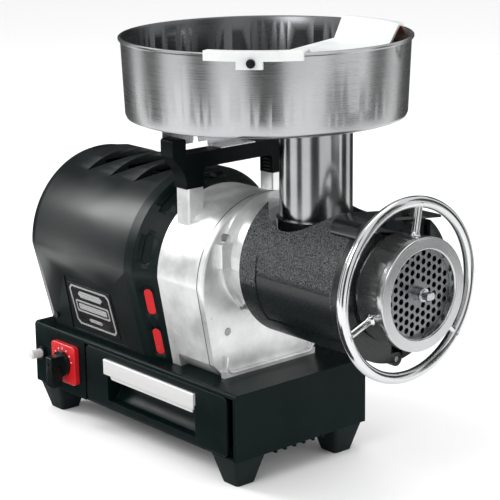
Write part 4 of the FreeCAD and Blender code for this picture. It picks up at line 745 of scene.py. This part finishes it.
# --- Head jacket -------------------------------------------------------------
# Two black moulded half shells with a hammered skin, hinged below, latched above
# by a glossy cover plate; gel packs fill the hollow between shell and barrel.
SHELL_R = 0.080
hammer = Finish("hammered_black")
jacket_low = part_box("jacket_near")[0]
axis_z = jacket_low[2] + SHELL_R
off_axis = hammer.make("ShaderNodeVectorMath", {"operation": "LENGTH"},
                       {0: hammer.place((0.0, 0.0, axis_z), (1.0, 0.0, 1.0))}, "Value")
along_y = hammer.make("ShaderNodeSeparateXYZ", None,
                      {"Vector": hammer.place((0.0, jacket_low[1], 0.0))}, "Y")
SKIN_UNDER, SKIN_OVER = SHELL_R - 0.0007, SHELL_R - 0.0003
PLAIN_END, GRAIN_START = 0.008, 0.010
outer_skin = hammer.range(off_axis, SKIN_UNDER, SKIN_OVER, 0.0, 1.0)
grained = outer_skin * hammer.range(along_y, PLAIN_END, GRAIN_START, 0.0, 1.0)
worms = hammer.make("ShaderNodeTexVoronoi", {"feature": "SMOOTH_F1"},
                    {"Vector": hammer.place(), "Scale": 560.0}, 0)
ripple = hammer.noise(720.0, detail=2.0)
grain = worms + ripple * 0.8
# Lighter flecks laid on the hammered grain: painted glints that stand in for the highlights the
# grain catches.
grain_glint_fleck = hammer.range(ripple, 0.45, 0.65, 0.0, 1.0) * grained
hammer.surface(hammer.blend(grain_glint_fleck, (0.0040, 0.0066, 0.0069, 1), (0.085, 0.092, 0.095, 1)),
               hammer.vary(ripple, 0.24, 0.36), 0.0, hammer.bump(grain * grained, 0.0013, 1.0),
               Specular_IOR_Level=0.45)
dress("jacket_near", "jacket_near_half", hammer.material, 0.0008)
dress("jacket_far", "jacket_far_half", hammer.material, 0.0008)
gloss = Finish("gloss_black")
gloss.surface((0.004, 0.006, 0.006, 1), gloss.vary(gloss.noise(60.0), 0.12, 0.20), 0.0,
              gloss.bump(gloss.noise(30.0), 0.0003, 0.1), Specular_IOR_Level=0.8)
dress("clamp_plate", "clamp", gloss.material, 0.0006)
dress("clamp_knob", "clamp_thumb", knob.material, 0.0004)
gel = Finish("gel_pack")
gel.surface((0.012, 0.016, 0.020, 1), gel.vary(gel.noise(80.0), 0.25, 0.4))
dress("cold_pack_near", "jacket_near_half", gel.material)
dress("cold_pack_far", "jacket_far_half", gel.material)

# --- Pan ---------------------------------------------------------------------
# Spun stainless pan with a brushed wall and a rolled rim, carried on the throat
# and on a folded bracket that stands on the handle.
spun = Finish("brushed_pan")
ring_line = spun.noise(1.0, spun.place(stretch=(16.0, 16.0, 5200.0)), detail=3.0)
cloudy = spun.noise(9.0, detail=4.0)
pan_low, pan_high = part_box("pan")
pan_middle = ((pan_low[0] + pan_high[0]) / 2, (pan_low[1] + pan_high[1]) / 2, pan_high[2])
faces = spun.make("ShaderNodeTexCoord", output="Normal")
outward = spun.make("ShaderNodeVectorMath", {"operation": "DOT_PRODUCT"},
                    {0: spun.place(pan_middle, (1.0, 1.0, 0.0)), 1: faces}, "Value")
outside_unshaded_mask = spun.range(outward, -0.02, 0.02, 0.0, 1.0)
wall = spun.tone(ring_line, 0.3, 0.7, (0.40, 0.405, 0.41, 1), (0.44, 0.445, 0.45, 1))
# Inward-facing faces get a painted shade (0.13) in place of the brushed wall tone that the
# outward-facing faces carry.
spun.surface(spun.blend(outside_unshaded_mask, (0.13, 0.134, 0.138, 1), wall),
             spun.vary(ring_line, 0.21, 0.27) + cloudy * 0.08, 1.0,
             spun.bump(ring_line, 0.00001, 0.12))
dress("pan", "hopper", spun.material)
dress("pan_bracket", "hopper", steel.material, 0.0003)

# --- Guard -------------------------------------------------------------------
# White moulded strap that bridges the pan, hooked over the rim and held by two
# black thumb screws.
white = Finish("guard_white")
film = white.noise(30.0, detail=4.0)
white.surface(white.tone(film, 0.35, 0.7, (0.58, 0.577, 0.570, 1), (0.64, 0.636, 0.628, 1)),
              white.vary(film, 0.32, 0.44), 0.0, white.bump(white.noise(1500.0), 0.00003, 0.4),
              Subsurface_Weight=0.1)
dress("guard", "hopper", white.material, 0.0006)
dress("guard_knob_near", "thumb_near", knob.material, 0.0003)
dress("guard_knob_far", "thumb_far", knob.material, 0.0003)
